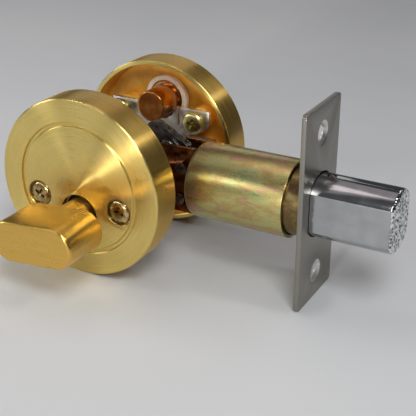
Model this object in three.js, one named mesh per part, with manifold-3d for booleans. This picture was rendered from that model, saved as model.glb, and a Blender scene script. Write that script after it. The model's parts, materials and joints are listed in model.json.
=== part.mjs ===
// Single-thumbturn deadbolt: two round roses clamp the door, a tubular latch reaches the door's edge.
// The lock is drawn about its own axes and moved, at the end, to stand with its box's bottom centre
// at the origin. Lock axes: X runs from the spindle towards the bolt's end, Y from the room side to
// the outer side, Z up. Their zero is where the spindle's vertical plane crosses the latch tube's axis.
import * as THREE from "three";
import { mergeVertices } from "three/addons/utils/BufferGeometryUtils.js";
import Module from "manifold-3d";

const wasm = await Module();
wasm.setup();

// ---- driving sizes, millimetres ----------------------------------------------------------------
const seatGap = 0.3; // between pieces that touch on the real lock
const runGap = 0.15; // round a turning shaft
const screwGap = 0.4; // round a screw's shank in its hole

const roseRadius = 29.2;
const roseDepth = 10.7;
const roseWall = 1.6;
const roseFace = 2.1;
const roseChamfer = 0.35;
const roseRise = 1.0; // rose centre above the tube's axis
const doorGap = 36.6; // between the two rims, the door's thickness
const grooveInset = 7.5; // groove's outer edge in from the rose's edge
const grooveWidth = 1.25;
const grooveDepth = 0.35;

const backset = 69.1; // spindle to the faceplate's front
const throwLength = 25.4; // travel of the bolt
const boltStub = 0.5; // bolt left proud of the faceplate when drawn back
const spindleDrop = 7.8; // spindle below the tube's axis

const leverHalfLength = 14.9;
const leverHalfHeight = 6.6;
const leverDepth = 16.2;
const leverStandOff = 8.4; // lever's back from the rose's face
const leverLean = 5.5; // degrees past level with the bolt out
const leverEdge = 0.7;
const neckRadius = 5.3;
const neckFlare = 1.1;
const roseHoleClearance = 1.4;

const insidePlateMargin = 3.1; // inside the cup's wall
const plateThickness = 1.4;
const clipGap = 0.9; // plate to retaining clip, where the washer sits
const clipThickness = 0.6;
const clipWidth = 2.1; // clip's edge beyond the neck
const neckGrooveDepth = 0.7;

const bladeWidth = 5.2;
const bladeThickness = 2.2;
const bladeReach = 12.0; // blade's end beyond the tube's axis
const bladeSocket = 11.0;
const rollPinRadius = 0.9;

const fixingSpread = 15.0; // mounting and plate screws left and right of the spindle
const fixingDrop = 3.6; // mounting screws below the tube's axis
const fixingShank = 2.0;
const fixingHead = 3.9;
const fixingHeadDepth = 2.3;
const fixingProud = 0.25;
const fixingReach = 15.0;
const headSocket = 8.7; // diameter of the head's hole in the rose

const plateScrewRise = 10.9;
const plateScrewStandOff = 2.6; // thread showing between head and plate
const plateInset = 2.3; // outside plate behind the outside rose's rim
const postRadius = 3.6;
const postStart = 6.2;
const footRadius = 6.4;
const footHeight = 2.6;
const bossRadius = 4.0;

const locatorRise = 15.2;
const locatorRadius = 5.35;
const locatorLength = 12.4;
const locatorFlange = 6.2;
const ringOuter = 8.2;
const ringDepth = 2.1;

const boltRadius = 10.0;
const boltClearance = 0.4;
const boltHalfWidth = 7.9; // from the middle to each side flat
const boltInside = 9.8; // bolt behind the faceplate's front when thrown
const boltEdge = 1.2;
const sleeveWall = 1.0;
const sleeveStart = 28.0; // spindle to the sleeve's closed end
const sleeveCorner = 1.6;
const innerTubeWall = 0.65;
const innerTubeShown = 5.7; // between the sleeve and the faceplate
const innerTubeOverlap = 16.8;

const faceHalfHeight = 32.0;
const faceHalfWidth = 13.0;
const faceThickness = 1.6;
const faceCorner = 1.0;
const faceHoleSpacing = 46.2;
const faceHoleRadius = 2.6;
const faceSinkRadius = 4.1;

const housingInner = 3.6; // half the space between the housing's side plates
const housingThickness = 1.0;
const housingInset = 1.15; // side plates' edges inside the sleeve's outline
const housingFoot = 0.7; // steel left under the hub
const housingReach = 8.0; // plates' end beyond the spindle
const housingInSleeveLength = 5.0;
const hubRadius = 3.9;
const crankLobe = 4.6;
const crankHead = { x: -1.1, z: 8.5, radius: 3.4 }; // from the crank pin
const crankTip = { x: 9.3, z: 4.4, radius: 1.9 };
const crankPlate = 0.8;
const crankPitch = 1.1;
const crankPinRadius = 1.8;
const pinPlay = 0.75; // slot wider than the pin, each side
const tailBarInner = 1.9;
const tailBarOuter = 3.1;
const tailUnderBolt = 1.2; // tail's top below the bolt's top
const tailBottom = -0.9;
const tailProngCover = 1.45; // prong above the pin's highest place
const tailProng = 2.6;
const rivetInset = 4.8; // guide rivet in from the sleeve's end
const rivetZ = 4.0;
const rivetRadius = 1.3;
const rivetHead = 2.0;
const spacerInset = 5.5;
const spacerZ = -6.8;
const spacerRadius = 2.2;

// ---- places worked out from the sizes ----------------------------------------------------------
const insideRim = -doorGap / 2;
const insideFace = insideRim - roseDepth;
const outsideRim = doorGap / 2;
const outsideFace = outsideRim + roseDepth;
const leverBack = insideFace - leverStandOff;
const leverFront = leverBack - leverDepth;
const insidePlateFront = insideFace + roseFace + seatGap;
const insidePlateBack = insidePlateFront + plateThickness;
const clipFront = insidePlateBack + clipGap;
const neckEnd = clipFront + clipThickness + 1.0;
const outsidePlateFront = outsideRim + plateInset;
const outsidePlateBack = outsidePlateFront + plateThickness;
const outsideFloor = outsideFace - roseFace;
const faceFront = backset;
const faceBack = backset - faceThickness;
const boltEnd = backset + throwLength + boltStub;
const crankRadius = throwLength / Math.SQRT2; // a quarter turn gives the whole throw
const crankPinX = throwLength / 2;
const crankPinZ = throwLength / 2 - spindleDrop;
const innerTubeRadius = boltRadius + boltClearance + innerTubeWall;
const sleeveInner = innerTubeRadius + seatGap;
const sleeveRadius = sleeveInner + sleeveWall;
const sleeveEnd = faceBack - innerTubeShown;
const innerTubeStart = sleeveEnd - innerTubeOverlap;
const boltRear = backset - boltInside;
const roseInner = roseRadius - roseWall;
const grooveOuter = roseRadius - grooveInset;
const insidePlateRadius = roseInner - insidePlateMargin;
const clipRadius = neckRadius + clipWidth;
const housingHalfHeight = sleeveRadius - housingInset;
const housingLow = spindleDrop + hubRadius + housingFoot;
const housingTail = sleeveStart + housingInSleeveLength;
const rivetX = sleeveStart - rivetInset;
const spacerX = sleeveStart - spacerInset;
const tailTop = boltRadius - tailUnderBolt;
const tailProngTop = crankRadius - spindleDrop + tailProngCover;

const ROUND = 40;
const MEDIUM = 28;
const SMALL = 16;

// ---- solids ------------------------------------------------------------------------------------
function solid(geometry) {
  const bare = geometry.clone();
  bare.deleteAttribute("normal");
  bare.deleteAttribute("uv");
  const merged = mergeVertices(bare, 1e-4);
  const place = merged.attributes.position;
  const triangles = [];
  let volume = 0;
  const a = new THREE.Vector3();
  const b = new THREE.Vector3();
  const c = new THREE.Vector3();
  for (let i = 0; i < merged.index.count; i += 3) {
    const [p, q, r] = [0, 1, 2].map((k) => merged.index.getX(i + k));
    if (p === q || q === r || r === p) continue;
    triangles.push(p, q, r);
    a.fromBufferAttribute(place, p);
    b.fromBufferAttribute(place, q);
    c.fromBufferAttribute(place, r);
    volume += a.dot(b.cross(c));
  }
  if (volume < 0) triangles.reverse();
  return new wasm.Manifold(new wasm.Mesh({
    numProp: 3,
    vertProperties: new Float32Array(place.array),
    triVerts: new Uint32Array(triangles),
  }));
}

function geometryOf(body) {
  const made = body.getMesh();
  const geometry = new THREE.BufferGeometry();
  geometry.setAttribute("position", new THREE.BufferAttribute(made.vertProperties, 3));
  geometry.setIndex(new THREE.BufferAttribute(made.triVerts, 1));
  geometry.computeVertexNormals();
  return geometry;
}

const cut = (body, ...tools) => tools.reduce((left, tool) => left.subtract(tool), body);
const join = (...bodies) => bodies.reduce((left, right) => left.add(right));

// A profile of [radius, place] pairs turned about a line along Y through (x, z).
function turnedY(profile, sides, x = 0, z = 0) {
  const points = profile.map(([r, y]) => new THREE.Vector2(r, y));
  return solid(new THREE.LatheGeometry(points, sides).translate(x, 0, z));
}

// The same, about a line along X through (y, z).
function turnedX(profile, sides, y = 0, z = 0) {
  const points = profile.map(([r, x]) => new THREE.Vector2(r, x));
  const along = new THREE.LatheGeometry(points, sides).rotateZ(-Math.PI / 2);
  return solid(along.translate(0, y, z));
}

function rodY(radius, from, to, sides, x = 0, z = 0) {
  return turnedY([[0, from], [radius, from], [radius, to], [0, to]], sides, x, z);
}

function rodX(radius, from, to, sides, y = 0, z = 0) {
  return turnedX([[0, from], [radius, from], [radius, to], [0, to]], sides, y, z);
}

function rodZ(radius, from, to, sides, x = 0, y = 0) {
  const rod = new THREE.CylinderGeometry(radius, radius, to - from, sides).rotateX(Math.PI / 2);
  return solid(rod.translate(x, y, (from + to) / 2));
}

function block(x0, x1, y0, y1, z0, z1) {
  const box = new THREE.BoxGeometry(x1 - x0, y1 - y0, z1 - z0);
  return solid(box.translate((x0 + x1) / 2, (y0 + y1) / 2, (z0 + z1) / 2));
}

// A flat outline in X and Z, given thickness along Y.
function platedY(shape, from, to, curveSegments = 8) {
  const plate = new THREE.ExtrudeGeometry(shape, { depth: to - from, bevelEnabled: false, curveSegments });
  return solid(plate.rotateX(Math.PI / 2).translate(0, to, 0));
}

// A flat outline in Y and Z, given length along X.
const toAlongX = new THREE.Matrix4().makeBasis(
  new THREE.Vector3(0, 1, 0), new THREE.Vector3(0, 0, 1), new THREE.Vector3(1, 0, 0));
function platedX(shape, from, to, curveSegments = 8) {
  const bar = new THREE.ExtrudeGeometry(shape, { depth: to - from, bevelEnabled: false, curveSegments });
  return solid(bar.applyMatrix4(toAlongX).translate(from, 0, 0));
}

function outline(points) {
  return new THREE.Shape(points.map(([u, v]) => new THREE.Vector2(u, v)));
}

function roundedBox(u0, u1, v0, v1, corner) {
  const shape = new THREE.Shape();
  shape.moveTo(u0 + corner, v0);
  shape.lineTo(u1 - corner, v0);
  shape.absarc(u1 - corner, v0 + corner, corner, -Math.PI / 2, 0);
  shape.lineTo(u1, v1 - corner);
  shape.absarc(u1 - corner, v1 - corner, corner, 0, Math.PI / 2);
  shape.lineTo(u0 + corner, v1);
  shape.absarc(u0 + corner, v1 - corner, corner, Math.PI / 2, Math.PI);
  shape.lineTo(u0, v0 + corner);
  shape.absarc(u0 + corner, v0 + corner, corner, Math.PI, Math.PI * 1.5);
  return shape;
}

// Outline of a straight arm between two round ends of radii r0 and r1.
function arm(x0, z0, r0, x1, z1, r1) {
  const heading = Math.atan2(z1 - z0, x1 - x0);
  const length = Math.hypot(x1 - x0, z1 - z0);
  const swing = Math.acos((r0 - r1) / length);
  const shape = new THREE.Shape();
  shape.absarc(x0, z0, r0, heading + swing, heading - swing + Math.PI * 2);
  shape.absarc(x1, z1, r1, heading - swing, heading + swing);
  return shape;
}

// ---- finishes ----------------------------------------------------------------------------------
const finish = (color, roughness, metalness) =>
  new THREE.MeshStandardMaterial({ color, roughness, metalness });
const satinBrass = finish(0xc2a55a, 0.34, 1);
const polishedBrass = finish(0xb9722c, 0.16, 1);
const zincPlate = finish(0xb4b6b4, 0.3, 1);
const yellowZinc = finish(0xa99a5e, 0.28, 1);
const satinNickel = finish(0x8a8780, 0.38, 1);
const chrome = finish(0xc9cacc, 0.08, 1);
const gunmetal = finish(0x4a4748, 0.35, 1);
const bronzedSteel = finish(0x3a2415, 0.4, 1);
const agedNickel = finish(0x8c7a58, 0.3, 1);
const plainSteel = finish(0x9a9a98, 0.35, 1);
const nylon = finish(0xe6dcd4, 0.5, 0);

const lock = new THREE.Group();
function piece(name, body, material) {
  const made = new THREE.Mesh(geometryOf(body), material);
  made.name = name;
  lock.add(made);
  return made;
}

const sides = [["left", -1], ["right", 1]];

// ---- roses -------------------------------------------------------------------------------------
// A rose is a shallow turned cup. `out` is the way its face looks along Y.
function roseCup(rim, out, grooved) {
  const face = rim + out * roseDepth;
  const floor = face - out * roseFace;
  const grooveInner = grooveOuter - grooveWidth;
  const sunk = face - out * grooveDepth;
  const groove = grooved
    ? [[grooveInner, face], [grooveInner, sunk], [grooveOuter, sunk], [grooveOuter, face]] : [];
  const profile = [[0, face], ...groove, [roseRadius - roseChamfer, face],
    [roseRadius, face - out * roseChamfer], [roseRadius, rim], [roseInner, rim], [roseInner, floor],
    [0, floor]];
  return turnedY(profile, ROUND, 0, roseRise);
}

const neckHole = rodY(neckRadius + roseHoleClearance, insideFace - 1, insideRim, SMALL + 4, 0, -spindleDrop);
const headHoles = sides.map(([, side]) =>
  rodY(headSocket / 2, insideFace - 1, insideRim, SMALL, side * fixingSpread, -fixingDrop));
piece("inside_rose", cut(roseCup(insideRim, -1, true), neckHole, ...headHoles), satinBrass);

const footTop = outsideFloor - footHeight;
const bossTop = outsidePlateBack + seatGap;
const feet = sides.map(([, side]) =>
  rodY(footRadius, footTop, outsideFloor + 0.5, SMALL, side * fixingSpread, -fixingDrop));
const bosses = sides.map(([, side]) =>
  rodY(bossRadius, bossTop, outsideFloor + 0.5, SMALL, side * fixingSpread, plateScrewRise));
const footHoles = sides.map(([, side]) =>
  rodY(fixingShank + screwGap, footTop - 1, outsideFloor - 0.4, SMALL, side * fixingSpread, -fixingDrop));
const bossHoles = sides.map(([, side]) =>
  rodY(fixingShank + screwGap, bossTop - 1, outsideFloor - 0.4, SMALL, side * fixingSpread, plateScrewRise));
piece("outside_rose",
  cut(join(roseCup(outsideRim, 1, false), ...feet, ...bosses), ...footHoles, ...bossHoles), satinBrass);

// ---- thumbturn, which turns about the spindle ----------------------------------------------------
function leverBody() {
  const run = leverHalfLength - leverHalfHeight;
  const inset = leverEdge;
  const slab = (shrink, from, to) =>
    platedY(arm(-run, 0, leverHalfHeight - shrink, run, 0, leverHalfHeight - shrink - 1e-6), from, to, 10);
  const body = join(slab(0, leverFront + inset, leverBack - inset / 2),
    slab(inset * 0.3, leverFront + inset * 0.3, leverBack), slab(inset, leverFront, leverBack));
  return body.rotate([0, -leverLean, 0]).translate([0, 0, -spindleDrop]);
}

const neckProfile = [[0, leverBack - 1], [neckRadius + neckFlare, leverBack - 1],
  [neckRadius + neckFlare, leverBack + 0.6], [neckRadius, leverBack + neckFlare + 1.6],
  [neckRadius, clipFront - seatGap / 2], [neckRadius - neckGrooveDepth, clipFront - seatGap / 2],
  [neckRadius - neckGrooveDepth, clipFront + clipThickness + seatGap / 2],
  [neckRadius, clipFront + clipThickness + seatGap / 2], [neckRadius, neckEnd], [0, neckEnd]];
const socketEnd = neckEnd - bladeSocket;
const bladeSlot = (from, to) => block(
  -bladeThickness / 2 - seatGap, bladeThickness / 2 + seatGap, from, to,
  -spindleDrop - bladeWidth / 2 - seatGap, -spindleDrop + bladeWidth / 2 + seatGap);
const rollPinY = neckEnd - bladeSocket / 2;
const rollPinHole = block(
  -neckRadius - 1, neckRadius + 1, rollPinY - rollPinRadius - seatGap, rollPinY + rollPinRadius + seatGap,
  -spindleDrop - rollPinRadius - seatGap, -spindleDrop + rollPinRadius + seatGap);
piece("turn_lever",
  cut(join(leverBody(), turnedY(neckProfile, SMALL + 4, 0, -spindleDrop)),
    bladeSlot(socketEnd, neckEnd + 1), rollPinHole), satinBrass);

const blade = block(-bladeThickness / 2, bladeThickness / 2, socketEnd + seatGap, bladeReach,
  -spindleDrop - bladeWidth / 2, -spindleDrop + bladeWidth / 2);
piece("spindle_blade", cut(blade, rollPinHole), plainSteel);
piece("blade_roll_pin",
  rodX(rollPinRadius, -neckRadius + seatGap, neckRadius - seatGap, 12, rollPinY, -spindleDrop), plainSteel);

function ringY(inner, outer, from, to, sideCount, x, z) {
  const profile = [[inner, from], [outer, from], [outer, to], [inner, to], [inner, from]];
  return turnedY(profile, sideCount, x, z);
}
const clipInner = neckRadius - neckGrooveDepth + runGap;
const clipRing = ringY(clipInner, clipRadius, clipFront, clipFront + clipThickness, SMALL, 0, -spindleDrop);
const clipMouth = block(-clipInner * 0.7, clipInner * 0.7, clipFront - 1, clipFront + clipThickness + 1,
  -spindleDrop - clipRadius - 1, -spindleDrop);
piece("retaining_clip", cut(clipRing, clipMouth), plainSteel);
piece("thrust_washer", ringY(neckRadius + runGap, clipRadius + 0.8, insidePlateBack + seatGap / 2,
  clipFront - seatGap / 2, SMALL, 0, -spindleDrop), nylon);

// ---- inside plate, bush and mounting screws ------------------------------------------------------
const bushOuter = neckRadius + runGap + 0.8;
const insideDisc = rodY(insidePlateRadius, insidePlateFront, insidePlateBack, MEDIUM, 0, roseRise);
const bushHole = rodY(bushOuter + seatGap, insidePlateFront - 1, insidePlateBack + 1, SMALL, 0, -spindleDrop);
const shankHoles = sides.map(([, side]) => rodY(fixingShank + screwGap, insidePlateFront - 1,
  insidePlateBack + 1, SMALL, side * fixingSpread, -fixingDrop));
piece("inside_plate", cut(insideDisc, bushHole, ...shankHoles), zincPlate);
piece("neck_bush", ringY(neckRadius + runGap, bushOuter, insidePlateFront - seatGap / 2,
  insidePlateBack, SMALL, 0, -spindleDrop), nylon);

// A round-topped screw drawn about its own axis: the head's top at y = 0, the shank towards +Y.
function crossHeadScrew(headRadius, headDepth, length) {
  const profile = [[0, 0], [headRadius * 0.55, 0.12], [headRadius * 0.9, 0.55], [headRadius, 1.0],
    [headRadius, headDepth], [fixingShank, headDepth], [fixingShank, length - 1],
    [fixingShank - 0.7, length], [0, length]];
  const reach = headRadius * 0.58;
  const slot = 0.55;
  const across = block(-reach, reach, -1, 1.3, -slot, slot);
  const upright = block(-slot, slot, -1, 1.3, -reach, reach);
  return cut(turnedY(profile, SMALL), across, upright);
}

const fixingTop = insideFace - fixingProud;
for (const [hand, side] of sides) {
  const screw = crossHeadScrew(fixingHead, insidePlateFront - seatGap - fixingTop, fixingReach - fixingTop);
  piece(`mounting_screw_${hand}`, screw, agedNickel)
    .position.set(side * fixingSpread, fixingTop, -fixingDrop);
}

// ---- outside plate, its screws, threaded posts and locating post ---------------------------------
const lugTop = plateScrewRise + 3.4;
const lugHalf = fixingSpread + 4.5;
const waist = plateScrewRise - 6.2;
const skirtHalf = roseInner - 6.2;
const skirtBottom = -spindleDrop - 6.7;
function lugOutline(side) {
  const shape = new THREE.Shape();
  shape.moveTo(0, waist - 1);
  shape.lineTo(side * (lugHalf - 8.3), waist - 1);
  shape.lineTo(side * (lugHalf - 8.3), waist);
  shape.quadraticCurveTo(side * (lugHalf - 1.9), waist + 1.4, side * lugHalf, waist + 5.4);
  shape.lineTo(side * lugHalf, lugTop);
  shape.lineTo(0, lugTop);
  return shape;
}
const skirt = new THREE.Shape();
skirt.moveTo(-skirtHalf, waist);
skirt.lineTo(-skirtHalf, skirtBottom + 8.5);
skirt.quadraticCurveTo(-skirtHalf + 2, skirtBottom, -skirtHalf + 11, skirtBottom);
skirt.lineTo(skirtHalf - 11, skirtBottom);
skirt.quadraticCurveTo(skirtHalf - 2, skirtBottom, skirtHalf, skirtBottom + 8.5);
skirt.lineTo(skirtHalf, waist);
const platePieces = [platedY(skirt, outsidePlateFront, outsidePlateBack),
  ...sides.map(([, side]) => platedY(lugOutline(side), outsidePlateFront, outsidePlateBack))];
const throughPlate = (radius, x, z) =>
  rodY(radius, outsidePlateFront - 1, outsidePlateBack + 1, SMALL, x, z);
const plateHoles = [throughPlate(locatorRadius + 0.9, 0, locatorRise), throughPlate(6, 0, -spindleDrop),
  ...sides.map(([, side]) => throughPlate(fixingShank + screwGap, side * fixingSpread, -fixingDrop)),
  ...sides.map(([, side]) => throughPlate(fixingShank + screwGap, side * fixingSpread, plateScrewRise))];
const slitEdge = locatorRadius + 1.65;
const slit = block(slitEdge, slitEdge + 0.9, outsidePlateFront - 1, outsidePlateBack + 1,
  lugTop - 6.7, lugTop + 1);
piece("outside_plate", cut(join(...platePieces), ...plateHoles, slit), zincPlate);

const plateScrewTop = outsidePlateFront - plateScrewStandOff - fixingHeadDepth;
const plateScrewEnd = outsideFloor - 1.2;
for (const [hand, side] of sides) {
  const screw = crossHeadScrew(fixingHead, fixingHeadDepth, plateScrewEnd - plateScrewTop);
  piece(`plate_screw_${hand}`, screw, yellowZinc)
    .position.set(side * fixingSpread, plateScrewTop, plateScrewRise);

  const shoulder = outsidePlateFront - seatGap;
  const postProfile = [[0, fixingReach + 1.5], [fixingShank + seatGap, fixingReach + 1.5],
    [fixingShank + seatGap, postStart], [postRadius, postStart], [postRadius, shoulder],
    [fixingShank, shoulder], [fixingShank, plateScrewEnd], [0, plateScrewEnd]];
  piece(`threaded_post_${hand}`, turnedY(postProfile, SMALL), plainSteel)
    .position.set(side * fixingSpread, 0, -fixingDrop);
}

const ringBack = outsideFloor - seatGap;
const locatorStart = ringBack - locatorLength;
const locatorProfile = [[0, locatorStart], [locatorRadius - 0.4, locatorStart],
  [locatorRadius, locatorStart + 0.4], [locatorRadius, ringBack - ringDepth + 0.3],
  [locatorFlange, ringBack - ringDepth + 0.3], [locatorFlange, ringBack], [0, ringBack]];
piece("locating_post", turnedY(locatorProfile, SMALL + 4, 0, locatorRise), polishedBrass);
piece("nylon_ring", ringY(locatorFlange + seatGap, ringOuter, ringBack - ringDepth, ringBack,
  SMALL + 4, 0, locatorRise), nylon);

// ---- latch: sleeve, inner tube and faceplate -----------------------------------------------------
const corner = [0, 1, 2, 3].map((step) => {
  const angle = (step / 3) * (Math.PI / 2);
  return [sleeveRadius - sleeveCorner * (1 - Math.sin(angle)),
    sleeveStart + sleeveCorner * (1 - Math.cos(angle))];
});
const sleeveProfile = [[0, sleeveStart], ...corner, [sleeveRadius, sleeveEnd], [sleeveInner, sleeveEnd],
  [sleeveInner, sleeveStart + sleeveWall], [0, sleeveStart + sleeveWall]];
const housingOuter = housingInner + housingThickness;
const housingInSleeve = Math.sqrt((sleeveInner - 0.35) ** 2 - housingOuter ** 2);
const sleeveMouth = block(sleeveStart - 1, sleeveStart + sleeveWall + 1, -housingOuter - seatGap,
  housingOuter + seatGap, -housingInSleeve - seatGap / 2, housingInSleeve + seatGap / 2);
piece("latch_sleeve", cut(turnedX(sleeveProfile, MEDIUM), sleeveMouth), yellowZinc);

const innerTube = [[innerTubeRadius - innerTubeWall, innerTubeStart], [innerTubeRadius, innerTubeStart],
  [innerTubeRadius, faceBack - seatGap], [innerTubeRadius - innerTubeWall, faceBack - seatGap],
  [innerTubeRadius - innerTubeWall, innerTubeStart]];
piece("inner_tube", turnedX(innerTube, MEDIUM), yellowZinc);

// The bolt's section: round above and below, flat on the two sides.
function boltSection(grow) {
  const radius = boltRadius + grow;
  const half = boltHalfWidth + grow;
  const angle = Math.acos(half / radius);
  const shape = new THREE.Shape();
  shape.absarc(0, 0, radius, angle, Math.PI - angle);
  shape.absarc(0, 0, radius, Math.PI + angle, Math.PI * 2 - angle);
  return shape;
}
const sinkDepth = faceSinkRadius - faceHoleRadius;
const faceHoles = [-1, 1].map((end) => turnedX([[0, faceBack - 1], [faceHoleRadius, faceBack - 1],
  [faceHoleRadius, faceFront - sinkDepth * 0.7], [faceSinkRadius, faceFront],
  [faceSinkRadius, faceFront + 1], [0, faceFront + 1]], SMALL, 0, end * faceHoleSpacing / 2));
const facePlain = platedX(
  roundedBox(-faceHalfWidth, faceHalfWidth, -faceHalfHeight, faceHalfHeight, faceCorner),
  faceBack, faceFront, 4);
const boltHole = platedX(boltSection(boltClearance), faceBack - 1, faceFront + 1, 12);
piece("faceplate", cut(facePlain, boltHole, ...faceHoles), satinNickel);

// ---- latch housing -------------------------------------------------------------------------------
const housingOutline = outline([[housingTail, -housingInSleeve], [housingTail, housingInSleeve],
  [sleeveStart - seatGap, housingInSleeve], [sleeveStart - seatGap, housingHalfHeight],
  [14, housingHalfHeight], [2.5 - housingReach, 1.5], [-housingReach, -2.5], [-housingReach, -9],
  [3 - housingReach, -housingLow], [6, -housingLow],
  [12, -housingHalfHeight], [sleeveStart - seatGap, -housingHalfHeight],
  [sleeveStart - seatGap, -housingInSleeve]]);
for (const [hand, side] of [["near", -1], ["far", 1]]) {
  const from = side < 0 ? -housingOuter : housingInner;
  const to = from + housingThickness;
  const through = (radius, x, z) => rodY(radius, from - 1, to + 1, SMALL, x, z);
  piece(`housing_plate_${hand}`, cut(platedY(housingOutline, from, to),
    through(hubRadius + runGap, 0, -spindleDrop), through(fixingShank + 1, fixingSpread, -fixingDrop),
    through(rivetRadius + seatGap, rivetX, rivetZ), through(rivetRadius + seatGap, spacerX, spacerZ)),
  bronzedSteel);
}

const headIn = housingOuter + seatGap;
const headOut = headIn + 0.6;
const rivetEnds = (from) => [[rivetRadius, from], [rivetRadius, headIn], [rivetHead, headIn],
  [rivetHead * 0.8, headOut], [0, headOut]];
const mirrored = (profile) => [...profile].reverse().map(([r, y]) => [r, -y]);
const guideHalf = rivetEnds(0).slice(1);
piece("guide_rivet", turnedY([...mirrored(guideHalf), ...guideHalf], 16, rivetX, rivetZ), plainSteel);
const spacerHalf = [[spacerRadius, housingInner - seatGap], ...rivetEnds(housingInner - seatGap)];
piece("spacer_rivet", turnedY([...mirrored(spacerHalf), ...spacerHalf], 16, spacerX, spacerZ), plainSteel);

// ---- crank, which turns with the spindle ---------------------------------------------------------
const headX = crankPinX + crankHead.x;
const headZ = crankPinZ + crankHead.z;
const tipX = crankPinX + crankTip.x;
const tipZ = crankPinZ + crankTip.z;
function crankLamina(from, to) {
  const elbow = crankLobe - 0.8;
  const arms = [arm(0, -spindleDrop, crankLobe, crankPinX, crankPinZ, elbow),
    arm(crankPinX, crankPinZ, elbow, headX, headZ, crankHead.radius),
    arm(headX, headZ, crankHead.radius, tipX, tipZ, crankTip.radius),
    arm(crankPinX, crankPinZ, elbow, tipX, tipZ, crankTip.radius)];
  const blank = join(...arms.map((shape) => platedY(shape, from, to, 6)));
  return cut(blank, rodY(hubRadius + seatGap, from - 1, to + 1, SMALL, 0, -spindleDrop),
    rodY(crankPinRadius + seatGap, from - 1, to + 1, SMALL, crankPinX, crankPinZ));
}
for (const [name, step] of [["near", -1], ["middle", 0], ["far", 1]]) {
  const middle = step * crankPitch;
  piece(`crank_plate_${name}`, crankLamina(middle - crankPlate / 2, middle + crankPlate / 2), gunmetal);
}
const hubHalf = housingOuter + 0.6;
piece("crank_hub", cut(rodY(hubRadius, -hubHalf, hubHalf, SMALL, 0, -spindleDrop),
  bladeSlot(-hubHalf - 1, hubHalf + 1)), gunmetal);
const crankPinHalf = housingInner - seatGap;
piece("crank_pin", rodY(crankPinRadius, -crankPinHalf, crankPinHalf, 16, crankPinX, crankPinZ), plainSteel);

// ---- bolt, which slides along the tube -----------------------------------------------------------
const tailInBolt = boltEnd - 19.5;
const slotHalf = crankPinRadius + pinPlay;
const prongRight = crankPinX + slotHalf + tailProng;
const prongLeft = crankPinX - slotHalf - tailProng;
const notchFloor = crankPinZ - crankPinRadius - 0.4;
const barOutline = outline([[tailInBolt, tailBottom], [tailInBolt, tailTop], [prongRight + 3, tailTop],
  [prongRight, tailProngTop], [crankPinX + slotHalf, tailProngTop], [crankPinX + slotHalf, notchFloor],
  [crankPinX - slotHalf, notchFloor], [crankPinX - slotHalf, tailProngTop], [prongLeft, tailProngTop],
  [prongLeft, tailBottom]]);
const guideSlot = block(rivetX - rivetRadius - 0.5, rivetX + throwLength + rivetRadius + 0.5,
  -tailBarOuter - 1, tailBarOuter + 1, rivetZ - rivetRadius - seatGap, rivetZ + rivetRadius + seatGap);
const boltPinX = boltEnd - 22.2;
const boltPinRadius = 1.1;
const tailBars = platedY(barOutline, -tailBarOuter, tailBarOuter);
const tailGap = block(prongLeft - 1, boltRear + 1, -tailBarInner, tailBarInner, -20, 20);
const hardPinRadius = 2.2;
const hardPinZ = tailBottom - hardPinRadius - 2.1;
const hardPinEnd = boltEnd - 4;
const boltPinFoot = hardPinZ + hardPinRadius + 1.1; // stops above the hardened pin's bore
const pinHole = rodZ(boltPinRadius + seatGap, boltPinFoot - seatGap / 2, boltRadius + 1, 16, boltPinX, 0);
const pinDimple = rodZ(boltPinRadius, -boltRadius - 1, -boltRadius + 1.2, 16, boltPinX, 0);
piece("bolt_tail", cut(tailBars, tailGap, guideSlot, pinHole), plainSteel);

function boltShell() {
  const steps = [[0, boltRear, boltEnd - boltEdge], [boltEdge * 0.3, boltRear, boltEnd - boltEdge * 0.45],
    [boltEdge, boltRear, boltEnd]];
  return join(...steps.map(([shrink, from, to]) => platedX(boltSection(-shrink), from, to, 10)));
}
const tailSocket = block(boltRear - 1, tailInBolt + seatGap, -tailBarOuter - seatGap,
  tailBarOuter + seatGap, tailBottom - seatGap, tailTop + seatGap);
const hardBore = rodX(hardPinRadius + seatGap, boltRear - 1, hardPinEnd + seatGap, 16, 0, hardPinZ);
piece("bolt", cut(boltShell(), tailSocket, hardBore, pinHole, pinDimple), chrome);
piece("bolt_cross_pin",
  rodZ(boltPinRadius, boltPinFoot, boltRadius - 0.25, 16, boltPinX, 0), plainSteel);
piece("anti_saw_pin", rodX(hardPinRadius, boltRear + 0.6, hardPinEnd, 16, 0, hardPinZ), gunmetal);

// ---- stand the lock with its box's bottom centre at the origin -----------------------------------
lock.position.set(-(boltEnd - roseRadius) / 2, -(leverFront + outsideFace) / 2, faceHalfHeight);
const group = new THREE.Group();
group.add(lock);

export default group;
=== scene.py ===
# %% [markdown]
# # A thumbturn deadbolt
# A deadbolt is two round brass roses that clamp a door, a thumbturn on the room side, and a tubular
# latch that carries the bolt to the door's edge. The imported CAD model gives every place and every
# motion. Here each visible part gets its real edges, threads and finish, and rides on its CAD body.

# %% Load the frame
import json
import math

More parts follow.
